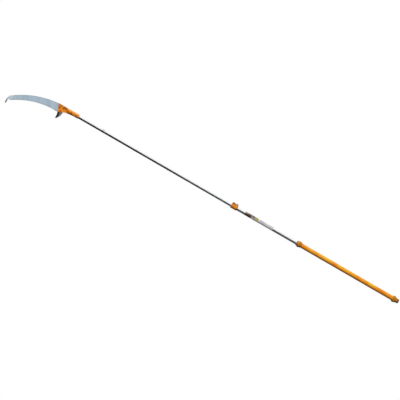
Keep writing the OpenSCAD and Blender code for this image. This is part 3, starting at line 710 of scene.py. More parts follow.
@dataclass(frozen=True)
class BladeSteel(Finish):
    """Chromed saw steel, ground across its width, with polished facets along its teeth.

    It is painted darker in bands along its two edges: painted shade of the gullets along the teeth,
    and a darker band along the spine. The hook is paler where it leaves the blade and greyer at its
    tip: its spans are how far behind the blade's far end they lie, along X and along Y.
    """

    colour: Colour
    shade: Colour
    # the darker colour of the bands along both edges: painted gullet shade along the teeth
    facet: Colour
    hook: Colour
    pale: Colour
    teeth: Arc
    spine: Arc
    roughness: float = 0.36
    metallic: float = 0.82
    grind_way: Triple = (0.80, 0.60, 0.0)
    line_scale: Pair = (1400.0, 12.0)
    line_layers: float = 4.0
    line_depth: float = 0.012 * MM
    line_roughness: float = 0.16
    band_scale: Pair = (26.0, 3.0)
    band_layers: float = 2.0
    band_span: Span = (0.30, 0.70)
    cloud: Mottle = Mottle(30.0, 3.0, (0.50, 0.75))
    cloud_share: float = 0.35
    teeth_span: Span = (6.4 * MM, 5.0 * MM)
    spine_span: Span = (4.0 * MM, 2.0 * MM)
    facet_share: float = 0.85
    facet_polish: float = 0.12
    hook_behind: Span = (50.7 * MM, 28.7 * MM)
    hook_share: float = 0.6
    tip_behind: Span = (57.9 * MM, 11.9 * MM)
    edge_radius: float = 0.3 * MM

    def paint(self, tree: Tree) -> None:
        """Fills the material's tree.

        Args:
            tree: where the nodes go.
        """
        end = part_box("saw_blade")[1]
        place = tree.place()
        x, y, _ = tree.parts(place)
        lean = tree.vectors("DOT_PRODUCT", place, self.grind_way)
        lines, bands = (
            tree.noise(tree.node("ShaderNodeCombineXYZ", {}, {"X": lean * across, "Y": y * down}),
                       1.0, layers)
            for (across, down), layers in ((self.line_scale, self.line_layers),
                                           (self.band_scale, self.band_layers)))
        from_teeth = tree.length_from(place, self.teeth[0]) - self.teeth[1]
        from_spine = self.spine[1] - tree.length_from(place, self.spine[0])
        facet = from_teeth.step(*self.teeth_span)
        # the bands along both edges, which are painted darker
        bright = (facet + from_spine.step(*self.spine_span)).at_most(1.0)
        hook = x.step(*(end.x - behind for behind in self.hook_behind))
        tip = hook * y.step(*(end.y - behind for behind in self.tip_behind))
        clouded = self.cloud.patches(self.cloud.over(place)) * self.cloud_share
        colour = tree.blend(bands.step(*self.band_span), self.colour, self.shade)
        colour = tree.blend(clouded, colour, self.shade)
        # painted shade of the gullets along the teeth, and a darker band along the spine
        colour = tree.blend(bright * self.facet_share, colour, self.facet)
        colour = tree.blend(hook * self.hook_share, colour, self.pale)
        dull = self.roughness + lines.swing(self.line_roughness)
        tree.surface(
            Base_Color=tree.blend(tip, colour, self.hook),
            Metallic=self.metallic,
            Roughness=dull - facet * self.facet_polish,
            Normal=tree.bump(lines, self.line_depth, tree.rounded(self.edge_radius)),
        )


@dataclass(frozen=True)
class SickleSteel(Finish):
    """Blackened steel whose web was ground bare behind a black front edge, which is an arc.

    The web and its darker rear start and are full at so much past the end of the black.
    """

    black: Colour
    bare: Colour
    rear: Colour
    scuff: Colour
    front: Arc
    black_width: float = 18 * MM
    web_after: Span = (-0.4 * MM, 0.8 * MM)
    rear_after: Span = (7 * MM, 13 * MM)
    metallic: float = 0.85
    roughness: float = 0.42
    gloss: float = 0.2
    worn: Mottle = Mottle((260.0, 40.0, 260.0), 3.0)
    worn_roughness: float = 0.2
    worn_depth: float = 0.02 * MM
    fleck: Mottle = Mottle(700.0, 3.0, (0.4, 0.6))
    edge_radius: float = 0.5 * MM
    scuff_share: float = 0.5

    def paint(self, tree: Tree) -> None:
        """Fills the material's tree.

        Args:
            tree: where the nodes go.
        """
        place = tree.place()
        behind = tree.length_from(place, self.front[0]) - self.front[1]
        web, rear = (behind.step(self.black_width + start, self.black_width + full)
                     for start, full in (self.web_after, self.rear_after))
        worn, fleck = self.worn.over(place), self.fleck.over(place)
        colour = tree.blend(web, self.black, tree.blend(rear, self.bare, self.rear))
        scuffed = tree.edges(self.edge_radius) * self.fleck.patches(fleck)
        tree.surface(
            Base_Color=tree.blend(scuffed * self.scuff_share, colour, self.scuff),
            Metallic=web * self.metallic,
            Roughness=self.roughness + worn.swing(self.worn_roughness),
            Specular_IOR_Level=self.gloss,
            Normal=tree.bump(worn, self.worn_depth, tree.rounded(self.edge_radius)),
        )


@dataclass(frozen=True)
class PlatedSteel(Finish):
    """Plated small hardware: a thin mottled film over turned or pressed steel."""

    colour: Colour
    tint: Colour
    roughness: float
    metallic: float
    worn_colour: Colour = rgb(190, 190, 188)
    film: Mottle = Mottle(160.0, 3.0, (0.35, 0.65))
    fleck: Mottle = Mottle(1500.0, 2.0, (0.35, 0.6))
    fleck_depth: float = 0.008 * MM
    fleck_roughness: float = 0.16
    edge_radius: float = 0.3 * MM
    worn_share: float = 0.6

    def paint(self, tree: Tree) -> None:
        """Fills the material's tree.

        Args:
            tree: where the nodes go.
        """
        place = tree.place()
        film, fleck = self.film.over(place), self.fleck.over(place)
        worn = tree.edges(self.edge_radius) * self.fleck.patches(fleck)
        colour = tree.blend(self.film.patches(film), self.colour, self.tint)
        tree.surface(
            Base_Color=tree.blend(worn * self.worn_share, colour, self.worn_colour),
            Metallic=self.metallic,
            Roughness=self.roughness + fleck.swing(self.fleck_roughness),
            Normal=tree.bump(fleck, self.fleck_depth, tree.rounded(self.edge_radius)),
        )


@dataclass(frozen=True)
class MouldedNylon(Finish):
    """Black nylon with a dull skin and polished rubbing marks."""

    colour: Colour
    shine: Colour
    roughness: float = 0.62
    polish: float = 0.25
    rubbed: Mottle = Mottle((30.0, 400.0, 400.0), 3.0, (0.5, 0.8))
    grain: Mottle = Mottle(2000.0)
    grain_depth: float = 0.02 * MM
    edge_radius: float = 0.4 * MM

    def paint(self, tree: Tree) -> None:
        """Fills the material's tree.

        Args:
            tree: where the nodes go.
        """
        place = tree.place()
        rubbed = self.rubbed.patches(self.rubbed.over(place))
        tree.surface(
            Base_Color=tree.blend(rubbed, self.colour, self.shine),
            Roughness=self.roughness - rubbed * self.polish,
            Normal=tree.bump(self.grain.over(place), self.grain_depth,
                             tree.rounded(self.edge_radius)),
        )


# ---- Meshes ----


class Maker:
    """Turns meshes into pieces that ride on the frame."""

    FLAT = 0.01 * MM  # how far a point of a flat face may lie off it
    DIGITS = 6  # to which places in metres are rounded where edges meet

    @staticmethod
    def dress(nodes: Sequence[str], finish: Finish) -> None:
        """Gives CAD nodes their finish.

        Args:
            nodes: the nodes' names.
            finish: what they are made of.
        """
        for name in nodes:
            for slot in frame["nodes"][name].material_slots:
                slot.material = finish.material()
            LOG.info("dressed %s in %s", name, finish.slot.value)

    @staticmethod
    def piece(name: str, mesh: bmesh.types.BMesh, body: Body | None, finish: Finish,
              stands_for: str | None = None, crease: float | None = None) -> bpy.types.Object:
        """Makes a piece of a finished mesh.

        Args:
            name: the piece's name.
            mesh: its faces, which are freed here.
            body: what it rides on, or None for a piece that rides on no body.
            finish: what it is made of.
            stands_for: the CAD node that it replaces, if any.
            crease: shades it smooth, but for edges sharper than this angle in degrees.

        Returns:
            The new object.
        """
        data = bpy.data.meshes.new(name)
        bmesh.ops.recalc_face_normals(mesh, faces=mesh.faces)
        mesh.to_mesh(data)
        mesh.free()
        data.materials.append(finish.material())
        made = bpy.data.objects.new(name, data)
        bpy.context.scene.collection.objects.link(made)
        if crease is not None:
            data.shade_smooth()
            data.set_sharp_from_angle(angle=math.radians(crease))
        if body:
            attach(made, body.value)
        if stands_for:
            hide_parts(stands_for)
        LOG.info("made %s with %d faces", name, len(data.polygons))
        return made

    @staticmethod
    def turns(steps: int, offset: float = 0.0) -> list[float]:
        """The angles of a full turn's steps, each moved on by a part of a step."""
        return [2 * math.pi * (i + offset) / steps for i in range(steps)]

    @staticmethod
    def rings(mesh: bmesh.types.BMesh, rings: Sequence[Sequence[Vector]], closed: bool) -> None:
        """Joins rings of points into a skin.

        Args:
            mesh: where the faces go.
            rings: the rings, each with as many points.
            closed: True joins the last ring to the first; False caps both ends.
        """
        rows = [[mesh.verts.new(point) for point in ring] for ring in rings]
        for low, high in zip(rows, rows[1:] + (rows[:1] if closed else [])):
            for i in range(len(low)):
                j = (i + 1) % len(low)
                mesh.faces.new((low[i], low[j], high[j], high[i]))
        if not closed:
            mesh.faces.new(reversed(rows[0]))
            mesh.faces.new(rows[-1])

    @staticmethod
    def flat_loops(node: str) -> list[list[Vector]]:
        """Finds the closed edges of a CAD node's highest flat face.

        Args:
            node: the CAD node.

        Returns:
            The longest edge first: the outer one, counter-clockwise, and then the holes' edges.
        """
        data, height = frame["nodes"][node].data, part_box(node)[1].z
        open_edges: set[tuple[Pair, Pair]] = set()
        for face in data.polygons:
            points = [data.vertices[i].co for i in face.vertices]
            if all(abs(point.z - height) < Maker.FLAT for point in points):
                keys = [(round(p.x, Maker.DIGITS), round(p.y, Maker.DIGITS)) for p in points]
                for start, end in zip(keys, keys[1:] + keys[:1]):
                    if (end, start) in open_edges:
                        open_edges.remove((end, start))
                    else:
                        open_edges.add((start, end))
        follow = dict(open_edges)
        loops = []
        while follow:
            start = min(follow)
            loop = [start]
            while (following := follow.pop(loop[-1])) != start:
                loop.append(following)
            loops.append([Vector((x, y, height)) for x, y in loop])
        return sorted(loops, key=len, reverse=True)

    @staticmethod
    def flat_tops(node: str) -> list[Vector]:
        """The middles of a CAD node's flat tops."""
        return [sum(loop, Vector()) / len(loop) for loop in Maker.flat_loops(node)]


# ---- Sub-assemblies ----


@dataclass
class OuterPole:
    """The fixed pole: tube, butt cap, grip sleeve, guard ring and label."""

    tube: DrawnTube
    rubber: GripRubber
    plastic: MouldedPlastic
    label: LabelFilm
    nylon: MouldedNylon
    hardware: PlatedSteel
    rim: tuple[Pair, ...] = ((0.0, 1.4 * MM), (0.3 * MM, 0.6 * MM), (0.9 * MM, 0.15 * MM),
                             (1.8 * MM, 0.0))
    bore_clear: float = 0.05 * MM
    steps: int = 40
    sides: int = 64
    crease: float = 40.0

    def build(self) -> None:
        """Dresses the pole's pieces."""
        Maker.dress(["outer_tube"], self.tube)
        self._grip()
        Maker.dress(["butt_cap", "guard_ring"], self.plastic)
        Maker.dress(["label_wrap"], self.label)
        Maker.dress(["butt_plug"], self.nylon)
        Maker.dress(["butt_screw"], self.hardware)

    def _section(self, x: float, half_y: float, half_z: float, flat: float = 0.0) -> list[Vector]:
        """Makes a ring round the pole.

        Args:
            x: its place along the pole.
            half_y: half of its width.
            half_z: half of its depth.
            flat: how far each side of an oval is straight to both sides; 0 gives an ellipse.

        Returns:
            The ring's points.
        """
        return [Vector((x, math.copysign(flat, math.cos(a)) + (half_y - flat) * math.cos(a),
                        half_z * math.sin(a))) for a in Maker.turns(self.sides, 0.5)]

    def _grip(self) -> None:
        """Makes the grip sleeve again, crowned on its flats and soft at its ends."""
        low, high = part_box("grip_sleeve")
        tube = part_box("outer_tube")[1]
        bore_y, bore_z = tube.y + self.bore_clear, tube.z + self.bore_clear
        profile = [(low.x + inset, drop) for inset, drop in self.rim]
        profile += [(low.x + (high.x - low.x) * i / self.steps, 0.0) for i in range(1, self.steps)]
        profile += [(high.x - inset, drop) for inset, drop in reversed(self.rim)]
        rows = [self._section(x, high.y - drop, high.z - drop) for x, drop in profile]
        rows += [self._section(x, bore_y, bore_z, bore_y - bore_z) for x in (high.x, low.x)]
        mesh = bmesh.new()
        Maker.rings(mesh, rows, closed=True)
        Maker.piece("grip_sleeve_crowned", mesh, Body.POLE, self.rubber, "grip_sleeve",
                    self.crease)


@dataclass
class LockSpring:
    """The coil spring between the lock pin's flange and the cover."""

    steel: PlatedSteel
    wire: float = 0.6 * MM
    coils: int = 3
    sides: int = 10
    steps: int = 24
    crease: float = 60.0

    def build(self) -> None:
        """Winds the spring, with half a flat turn at each end."""
        low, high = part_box("lock_spring")
        middle, thick = (low + high) / 2, self.wire / 2
        radius = (high.x - low.x - self.wire) / 2
        start, end = high.y - thick, low.y + thick
        last = self.steps * self.coils
        rows = []
        for i in range(last + self.steps + 1):
            turn = 2 * math.pi * i / self.steps
            y = start + (end - start) * min(max(i - self.steps / 2, 0.0), last) / last
            rows.append([Vector((middle.x + (radius + thick * math.cos(a)) * math.cos(turn),
                                 y + thick * math.sin(a),
                                 middle.z + (radius + thick * math.cos(a)) * math.sin(turn)))
                         for a in Maker.turns(self.sides)])
        mesh = bmesh.new()
        Maker.rings(mesh, rows, closed=False)
        spring = Maker.piece("lock_spring_wound", mesh, None, self.steel, "lock_spring",
                             self.crease)
        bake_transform(spring)


@dataclass
class ClampCollar:
    """The clamp that holds the inner pole, with its lever and its lock button."""

    collar: MouldedPlastic
    lever: MouldedPlastic
    nylon: MouldedNylon
    dark: PlatedSteel
    bright: PlatedSteel

    def build(self) -> None:
        """Dresses the clamp's pieces and winds its spring."""
        Maker.dress(["clamp_collar", "lock_knob"], self.collar)
        Maker.dress(["clamp_lever"], self.lever)
        Maker.dress(["guide_bush", "cam_pad"], self.nylon)
        Maker.dress(["collar_screws", "tension_bolt", "tension_nut", "lever_pin", "lock_cover"],
                    self.dark)
        Maker.dress(["lever_clip", "cover_screws", "lock_pin"], self.bright)
        LockSpring(self.bright).build()


@dataclass
class HexFastener:
    """A chamfered hexagon head or nut, and a threaded bolt end, along Z through a place."""

    at: Vector
    flats: float
    thread: float
    sides: int = 48
    chamfer: float = 0.94
    chamfer_slope: float = 30.0
    pitch: float = 1.25 * MM
    thread_depth: float = 0.6 * MM
    thread_lead: float = 1.5
    turn_steps: int = 6

    def _points(self, places: Sequence[Pair]) -> list[Vector]:
        """A ring of points, from the radius and height of each."""
        return [Vector((self.at.x + radius * math.cos(a), self.at.y + radius * math.sin(a), height))
                for a, (radius, height) in zip(Maker.turns(self.sides), places)]

    def ring(self, radius: float, height: float) -> list[Vector]:
        """A round ring at a height."""
        return self._points([(radius, height)] * self.sides)

    def hex_rings(self, low: float, high: float, both: bool = False) -> list[list[Vector]]:
        """Makes a hexagon's outer rings, with its corners turned down.

        Args:
            low: the hexagon's lower face.
            high: its upper face.
            both: turns the corners down at the lower face too.

        Returns:
            The rings, from low to high.
        """
        inner = self.flats / 2 * self.chamfer
        slope, side = math.tan(math.radians(self.chamfer_slope)), math.pi / 3
        corners = []
        for a in Maker.turns(self.sides):
            radius = self.flats / 2 / math.cos((a + side / 2) % side - side / 2)
            corners.append((radius, (radius - inner) * slope))
        foot = [self._points([(radius, low) for radius, _ in corners])]
        if both:
            foot = [self.ring(inner, low),
                    self._points([(radius, low + drop) for radius, drop in corners])]
        return [*foot, self._points([(radius, high - drop) for radius, drop in corners]),
                self.ring(inner, high)]

    def thread_rings(self, low: float, high: float) -> list[list[Vector]]:
        """Makes the rings of a threaded stretch whose lower end is chamfered.

        Args:
            low: the height of its lower end.
            high: the height of its upper end.

        Returns:
            The rings, from low to high.
        """
        radius = self.thread / 2
        rows = [self.ring(radius - self.thread_depth * self.thread_lead, low)]
        steps = max(self.turn_steps, int((high - low) / self.pitch * self.turn_steps))
        for height in (low + (high - low) * i / steps for i in range(steps + 1)):
            missing = 1 - min(1.0, (height - low) / self.pitch)
            phases = [(height / self.pitch - a / (2 * math.pi)) % 1.0
                      for a in Maker.turns(self.sides)]
            rows.append(self._points([
                (radius - self.thread_depth * (abs(2 * phase - 1) + missing), height)
                for phase in phases]))
        return rows


@dataclass
class CheekRibs:
    """The low bars moulded across the near cheek, which stop short of the bolts' bosses."""

    plastic: MouldedPlastic
    level: float = 6 * MM
    rise: float = 0.5 * MM
    sunk: float = 0.2 * MM
    pitch: float = 3 * MM
    half_foot: float = 0.9 * MM
    half_top: float = 0.5 * MM
    end_slope: float = 0.4 * MM
    start: float = 80 * MM
    end: float = 9 * MM
    low: float = -13 * MM
    high: float = -2.5 * MM
    boss_clear: float = 10.4 * MM
    shortest: float = 2 * MM

    def build(self) -> None:
        """Makes every bar, from the socket's side to the nose."""
        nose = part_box("head_cheek")[1].x
        bolts = Maker.flat_tops("blade_bolts")
        mesh = bmesh.new()
        for i in range(int((self.start - self.end) / self.pitch) + 1):
            x = nose - self.start + i * self.pitch
            high = self._reach(x, bolts)
            if high - self.low > self.shortest:
                self._bar(mesh, x, high)
        Maker.piece("cheek_ribs", mesh, Body.HEAD, self.plastic)

    def _reach(self, x: float, bolts: Sequence[Vector]) -> float:
        """Finds how far along Y a bar can go before it meets a boss.

        Args:
            x: the bar's place along the pole.
            bolts: the middles of the bolts in the bosses.

        Returns:
            The bar's highest Y.
        """
        near = [bolt for bolt in bolts if abs(bolt.x - x) < self.boss_clear]
        return min([self.high, *(bolt.y - math.sqrt(self.boss_clear ** 2 - (bolt.x - x) ** 2)
                                 for bolt in near)])

    def _bar(self, mesh: bmesh.types.BMesh, x: float, high: float) -> None:
        """Adds one bar, narrower at its top.

        Args:
            mesh: where the faces go.
            x: the bar's place along the pole.
            high: its highest Y.
        """
        rows = []
        for z, half, drawn_in in ((self.level - self.sunk, self.half_foot, 0.0),
                                  (self.level, self.half_foot, 0.0),
                                  (self.level + self.rise, self.half_top, self.end_slope)):
            low_y, high_y = self.low + drawn_in, high - drawn_in
            rows.append([Vector((x - half, low_y, z)), Vector((x + half, low_y, z)),
                         Vector((x + half, high_y, z)), Vector((x - half, high_y, z))])
        Maker.rings(mesh, rows, closed=False)


@dataclass(frozen=True)
class BoltSize:
    """A bolt's thread, its width across the flats and its head's height."""

    thread: float
    flats: float
    head: float


@dataclass
class Head:
    """The socket on the inner pole, its cheeks and the bolts that hold the blade."""

    plastic: MouldedPlastic
    nylon: MouldedNylon
    tube: DrawnTube
    yellow: PlatedSteel
    bright: PlatedSteel
    blade_bolt: BoltSize = BoltSize(8 * MM, 13 * MM, 5.3 * MM)
    socket_bolt: BoltSize = BoltSize(6 * MM, 10 * MM, 4 * MM)
    thread_out: float = 0.5 * MM
    nut_clear: float = 0.05 * MM
    crease: float = 28.0

    def build(self) -> None:
        """Dresses the head's pieces and makes its bolts, its nuts and its cheek's bars."""
        Maker.dress(["head_socket", "head_cheek"], self.plastic)
        Maker.dress(["head_plug", "tail_glide"], self.nylon)
        Maker.dress(["inner_tube"], self.tube)
        Maker.dress(["blade_washers", "tail_pin"], self.bright)
        self._bolts("blade_bolts", "blade_nuts", self.blade_bolt)
        self._bolts("socket_bolts", "socket_nuts", self.socket_bolt)
        CheekRibs(self.plastic).build()

    def _bolts(self, bolts: str, nuts: str, size: BoltSize) -> None:
        """Replaces a set of plain bolts and nuts by detailed ones.

        Args:
            bolts: the CAD node of the bolts.
            nuts: the CAD node of their nuts.
            size: what they measure.
        """
        low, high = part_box(bolts)[0].z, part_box(bolts)[1].z
        nut_low, nut_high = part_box(nuts)[0].z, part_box(nuts)[1].z
        bolt_mesh, nut_mesh = bmesh.new(), bmesh.new()
        for at in Maker.flat_tops(bolts):
            hexagon = HexFastener(at, size.flats, size.thread)
            shank = [hexagon.ring(size.thread / 2, nut_high + self.thread_out),
                     hexagon.ring(size.thread / 2, high - size.head)]
            Maker.rings(bolt_mesh, hexagon.thread_rings(low, nut_high) + shank +
                        hexagon.hex_rings(high - size.head, high), closed=False)
            bore = [hexagon.ring(size.thread / 2 + self.nut_clear, z) for z in (nut_high, nut_low)]
            Maker.rings(nut_mesh, hexagon.hex_rings(nut_low, nut_high, both=True) + bore,
                        closed=True)
        for name, mesh in ((bolts, bolt_mesh), (nuts, nut_mesh)):
            Maker.piece(f"{name}_threaded", mesh, Body.HEAD, self.yellow, name, self.crease)


@dataclass
class BladeOutline:
    """The CAD blade's edge and holes, seen along Z, and the arcs that its long edges follow."""

    edge: list[Vector]
    holes: list[list[Vector]]
    sharp_turn: float = 0.9
    spine_shares: Triple = (0.35, 0.55, 0.75)
    window: float = 30 * MM
    window_slope: float = 0.4

    @classmethod
    def read(cls) -> "BladeOutline":
        """Reads the outline from the CAD blade's flat side."""
        edge, *holes = Maker.flat_loops("saw_blade")
        return cls(edge, holes)

    def teeth(self) -> list[int]:
        """Finds the tips and gullets of the teeth.

        Returns:
            Their places in the edge, in order: a tip first, and then by turns.
        """
        runs: list[list[int]] = [[]]
        for i, point in enumerate(self.edge):
            back = (point - self.edge[i - 1]).to_2d()
            ahead = (self.edge[(i + 1) % len(self.edge)] - point).to_2d()
            if abs(back.angle_signed(ahead, 0.0)) > self.sharp_turn:
                runs[-1].append(i)
            elif runs[-1]:
                runs.append([])
        return max(runs, key=len)

    @staticmethod
    def _circle(a: Vector, b: Vector, c: Vector) -> Arc:
        """Finds the circle through three points of the outline.

        Args:
            a: a point.
            b: another.
            c: a third.

        Returns:
            Its centre, at Z 0, and its radius.
        """
        ab, ac = (b - a).to_2d(), (c - a).to_2d()
        cross = 2 * (ab.x * ac.y - ab.y * ac.x)
        off = Vector(((ac.y * ab.length_squared - ab.y * ac.length_squared) / cross,
                      (ab.x * ac.length_squared - ac.x * ab.length_squared) / cross, 0.0))
        centre = a + off
        return (centre.x, centre.y, 0.0), off.length

    def teeth_arc(self) -> Arc:
        """The arc through the tips of the teeth."""
        tips = [self.edge[i] for i in self.teeth()][::2]
        return self._circle(tips[0], tips[len(tips) // 2], tips[-1])

    def spine_arc(self) -> Arc:
        """Finds the arc of the blade's back.

        Returns:
            The arc through its lowest points about three places along the blade.
        """
        low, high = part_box("saw_blade")
        points = []
        for share in self.spine_shares:
            x = low.x + share * (high.x - low.x)
            points.append(min((p for p in self.edge if abs(p.x - x) < self.window),
                              key=lambda p: p.y + self.window_slope * abs(p.x - x)))
        return self._circle(*points)


@dataclass
class SawBlade:
    """The curved blade, made again with ground and set teeth round the CAD outline."""

    steel: BladeSteel
    outline: BladeOutline
    grind: float = 2.2 * MM
    tip_half: float = 0.14 * MM
    gullet_half: float = 0.45 * MM
    set_out: float = 0.55 * MM

    def build(self) -> None:
        """Makes the blade and lets it stand for the CAD one."""
        low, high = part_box("saw_blade")
        half = (high.z - low.z) / 2
        edge, toothed = self.outline.edge, self.outline.teeth()
        centre = Vector(self.outline.teeth_arc()[0])
        rays = {i: (edge[i] - centre).to_2d() for i in toothed}
        nearest, furthest = (pick(ray.length for ray in rays.values()) for pick in (min, max))
        rim = [[Vector((p.x, p.y, half)), Vector((p.x, p.y, -half))] for p in edge]
        face = [p.copy() for p in edge]
        for order, (i, ray) in enumerate(rays.items()):
            out, reach = ray.normalized(), furthest + self.grind
            face[i] = Vector((centre.x + out.x * reach, centre.y + out.y * reach, high.z))
            tip = ray.length < (furthest + nearest) / 2
            lean = self.set_out * (1 if order // 2 % 2 else -1) if tip else 0.0
            thick = self.tip_half if tip else self.gullet_half
            rim[i][0].z, rim[i][1].z = lean + thick, lean - thick
        mesh = bmesh.new()
        for side, z in enumerate((half, -half)):
            self._face(mesh, face, z)
            self._facets(mesh, face, [pair[side] for pair in rim], set(toothed), z)
        self._walls(mesh, rim, half)
        bmesh.ops.remove_doubles(mesh, verts=mesh.verts, dist=SAME_POINT)
        Maker.piece("saw_blade_ground", mesh, Body.HEAD, self.steel, "saw_blade")

    def _face(self, mesh: bmesh.types.BMesh, face: Sequence[Vector], z: float) -> None:
        """Fills one flat side of the blade, round its holes.

        Args:
            mesh: where the faces go.
            face: the side's outer edge, behind the ground teeth.
            z: its height.
        """
        loops = [[Vector((p.x, p.y, z)) for p in loop] for loop in (face, *self.outline.holes)]
        corners = [mesh.verts.new(p) for loop in loops for p in loop]
        for triangle in tessellate_polygon(loops):
            mesh.faces.new([corners[i] for i in triangle])

    @staticmethod
    def _facets(mesh: bmesh.types.BMesh, face: Sequence[Vector], rim: Sequence[Vector],
                toothed: set[int], z: float) -> None:
        """Joins a flat side to the thinned rim along the teeth.

        Args:
            mesh: where the faces go.
            face: the side's outer edge.
            rim: the same points at the blade's edge.
            toothed: the places in both of the teeth's tips and gullets.
            z: the side's height.
        """
        for i in range(len(face)):
            j = (i + 1) % len(face)
            if i in toothed or j in toothed:
                inner = [Vector((face[k].x, face[k].y, z)) for k in (j, i)]
                corners = [rim[i], rim[j], *inner]
                distinct = [p for k, p in enumerate(corners)
                            if (p - corners[k - 1]).length > SAME_POINT]
                if len(distinct) > 2:
                    mesh.faces.new([mesh.verts.new(p) for p in distinct])

    def _walls(self, mesh: bmesh.types.BMesh, rim: Sequence[Sequence[Vector]],
               half: float) -> None:
        """Closes the rim and the holes between the two sides.

        Args:
            mesh: where the faces go.
            rim: the upper and the lower point at each place of the edge.
            half: half of the blade's thickness.
        """
        bands = [rim, *([(Vector((p.x, p.y, half)), Vector((p.x, p.y, -half))) for p in hole]
                        for hole in self.outline.holes)]
        for band in bands:
            for (a, b), (c, d) in zip(band, band[1:] + band[:1]):
                mesh.faces.new([mesh.verts.new(p) for p in (a, b, d, c)])


@dataclass
class Sickle:
    """The hooked cutter under the blade."""

    steel: SickleSteel

    def build(self) -> None:
        """Dresses the sickle."""
        Maker.dress(["sickle"], self.steel)


# ---- Studio ----


@dataclass
class Studio:
    """The white sweep, the lamps, the dark card that metal mirrors, and the camera."""

    view_width: float = 3.400
    view_offset: Pair = (0.019, 0.0094)
    camera_turn: float = 210.035
    lens: float = 200.0
    world_light: float = 0.20
    key_light: float = 2.95
    key_from: Triple = (0.405, -0.70, 0.588)
    key_softness: float = 24.0
    floor_half: float = 40.0
    floor_tone: float = 0.14
    floor_share: float = 0.80
    floor_glow: float = 1.235
    card_start: float = -1.0
    card_end: float = 10 * MM
    card_gap: float = 21 * MM
    card_lean: float = 22.7 * MM
    card_height: float = 120 * MM
    card_grey: Colour = rgb(72, 76, 78)
    card_black: Colour = rgb(6, 6, 6)
    card_blacker: Span = (1.5, 2.6)

    def build(self) -> None:
        """Makes everything that isn't part of the object."""
        low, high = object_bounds()
        self._camera((low + high) / 2)
        self._world()
        self._key()
        self._floor(low.z)
        self._card(low.z)
        bpy.context.scene.view_settings.view_transform = "Standard"
        LOG.info("set the studio")

    @staticmethod
    def _add(name: str, data: bpy.types.ID) -> bpy.types.Object:
        """Puts an object into the scene.

        Args:
            name: what it is called.
            data: its mesh, lamp or camera.

        Returns:
            The object.
        """
        made = bpy.data.objects.new(name, data)
        bpy.context.scene.collection.objects.link(made)
        return made

    def _camera(self, centre: Vector) -> None:
        """Looks straight down on the object as it lies.

        Args:
            centre: the middle of the object's box.
        """
        data = bpy.data.cameras.new("camera")
        data.lens = self.lens
        camera = self._add("camera", data)
        camera.location = (centre.x + self.view_offset[0], centre.y + self.view_offset[1],
                           self.view_width * self.lens / data.sensor_width)
        camera.rotation_euler = (0.0, 0.0, math.radians(self.camera_turn))
        bpy.context.scene.camera = camera

    @staticmethod
    def _seen(tree: Tree) -> Wire:
        """Tells rays that see a surface from rays that light the object.

        Args:
            tree: where the nodes go.

        Returns:
            1 for rays from the camera, a mirror or glass, and 0 for the others.
        """
        camera = tree.node("ShaderNodeLightPath", output="Is Camera Ray")
        mirrored = camera.sibling("Is Glossy Ray")
        return camera.at_least(mirrored).at_least(camera.sibling("Is Transmission Ray"))

    def _world(self) -> None:
        """White where it is seen, and plain soft light on the object."""
        world = bpy.data.worlds.new("world")
        world.use_nodes = True
        bpy.context.scene.world = world
        tree = Tree(world.node_tree)
        strength = self._seen(tree) * (1 - self.world_light) + self.world_light
        tree.end(tree.node("ShaderNodeBackground", {}, {"Color": WHITE, "Strength": strength}),
                 "ShaderNodeOutputWorld")

    def _key(self) -> None:
        """A broad lamp from the spine's side and the blade's end."""
        data = bpy.data.lights.new("key", "SUN")
        data.energy = self.key_light
        data.angle = math.radians(self.key_softness)
        lamp = self._add("key", data)
        lamp.rotation_euler = Vector(self.key_from).to_track_quat("Z", "Y").to_euler()

    def _sheet(self, name: str, corners: Sequence[Place],
               material: bpy.types.Material) -> bpy.types.Object:
        """Makes a flat four-cornered sheet that belongs to the stage.

        Args:
            name: what it is called.
            corners: its corners in order.
            material: what it is painted with.

        Returns:
            The sheet.
        """
        data = bpy.data.meshes.new(name)
        data.from_pydata(corners, [], [(0, 1, 2, 3)])
        data.materials.append(material)
        made = self._add(name, data)
        made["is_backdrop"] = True
        return made

    def _card_glow(self, tree: Tree, x: Wire) -> Wire:
        """The card's dark, deeper towards the blade."""
        return tree.glow(tree.blend(x.step(*self.card_blacker), self.card_grey, self.card_black))

    def _floor(self, level: float) -> None:
        """Makes the pale floor, which keeps a faint shadow and reads dark in mirrors by the card.

        Args:
            level: the floor's Z.
        """
        material, tree = new_material("floor_white")
        lit = tree.node("ShaderNodeBsdfDiffuse", {}, {"Color": (self.floor_tone,) * 3})
        floor = tree.node("ShaderNodeMixShader", {}, {
            0: self._seen(tree) * self.floor_share, 1: lit, 2: tree.glow(WHITE, self.floor_glow)})
        x, y, _ = tree.parts(tree.place())
        mirrored = tree.node("ShaderNodeLightPath", output="Is Glossy Ray")
        start, end = (corner.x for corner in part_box("head_socket"))
        share = mirrored * y.step(0.0, self.card_gap) * x.step(end, start)
        tree.end(tree.node("ShaderNodeMixShader", {}, {
            0: share, 1: floor, 2: self._card_glow(tree, x)}))
        far = self.floor_half
        self._sheet("floor", [(-far, -far, level), (far, -far, level), (far, far, level),
                              (-far, far, level)], material)

    def _card(self, level: float) -> None:
        """Makes a dark card that leans over the pole from the teeth's side, seen only in metal.

        Args:
            level: the floor's Z, where the card stands.
        """
        material, tree = new_material("card_dark")
        tree.end(self._card_glow(tree, tree.parts(tree.place())[0]))
        start, end = self.card_start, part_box("head_socket")[0].x + self.card_end
        near, far, top = self.card_gap - self.card_lean, self.card_gap, level + self.card_height
        card = self._sheet("card", [(start, far, level), (end, far, level), (end, near, top),
                                    (start, near, top)], material)
        for kind in ("camera", "diffuse", "transmission", "shadow", "volume_scatter"):
            setattr(card, f"visible_{kind}", False)


# ---- The saw ----


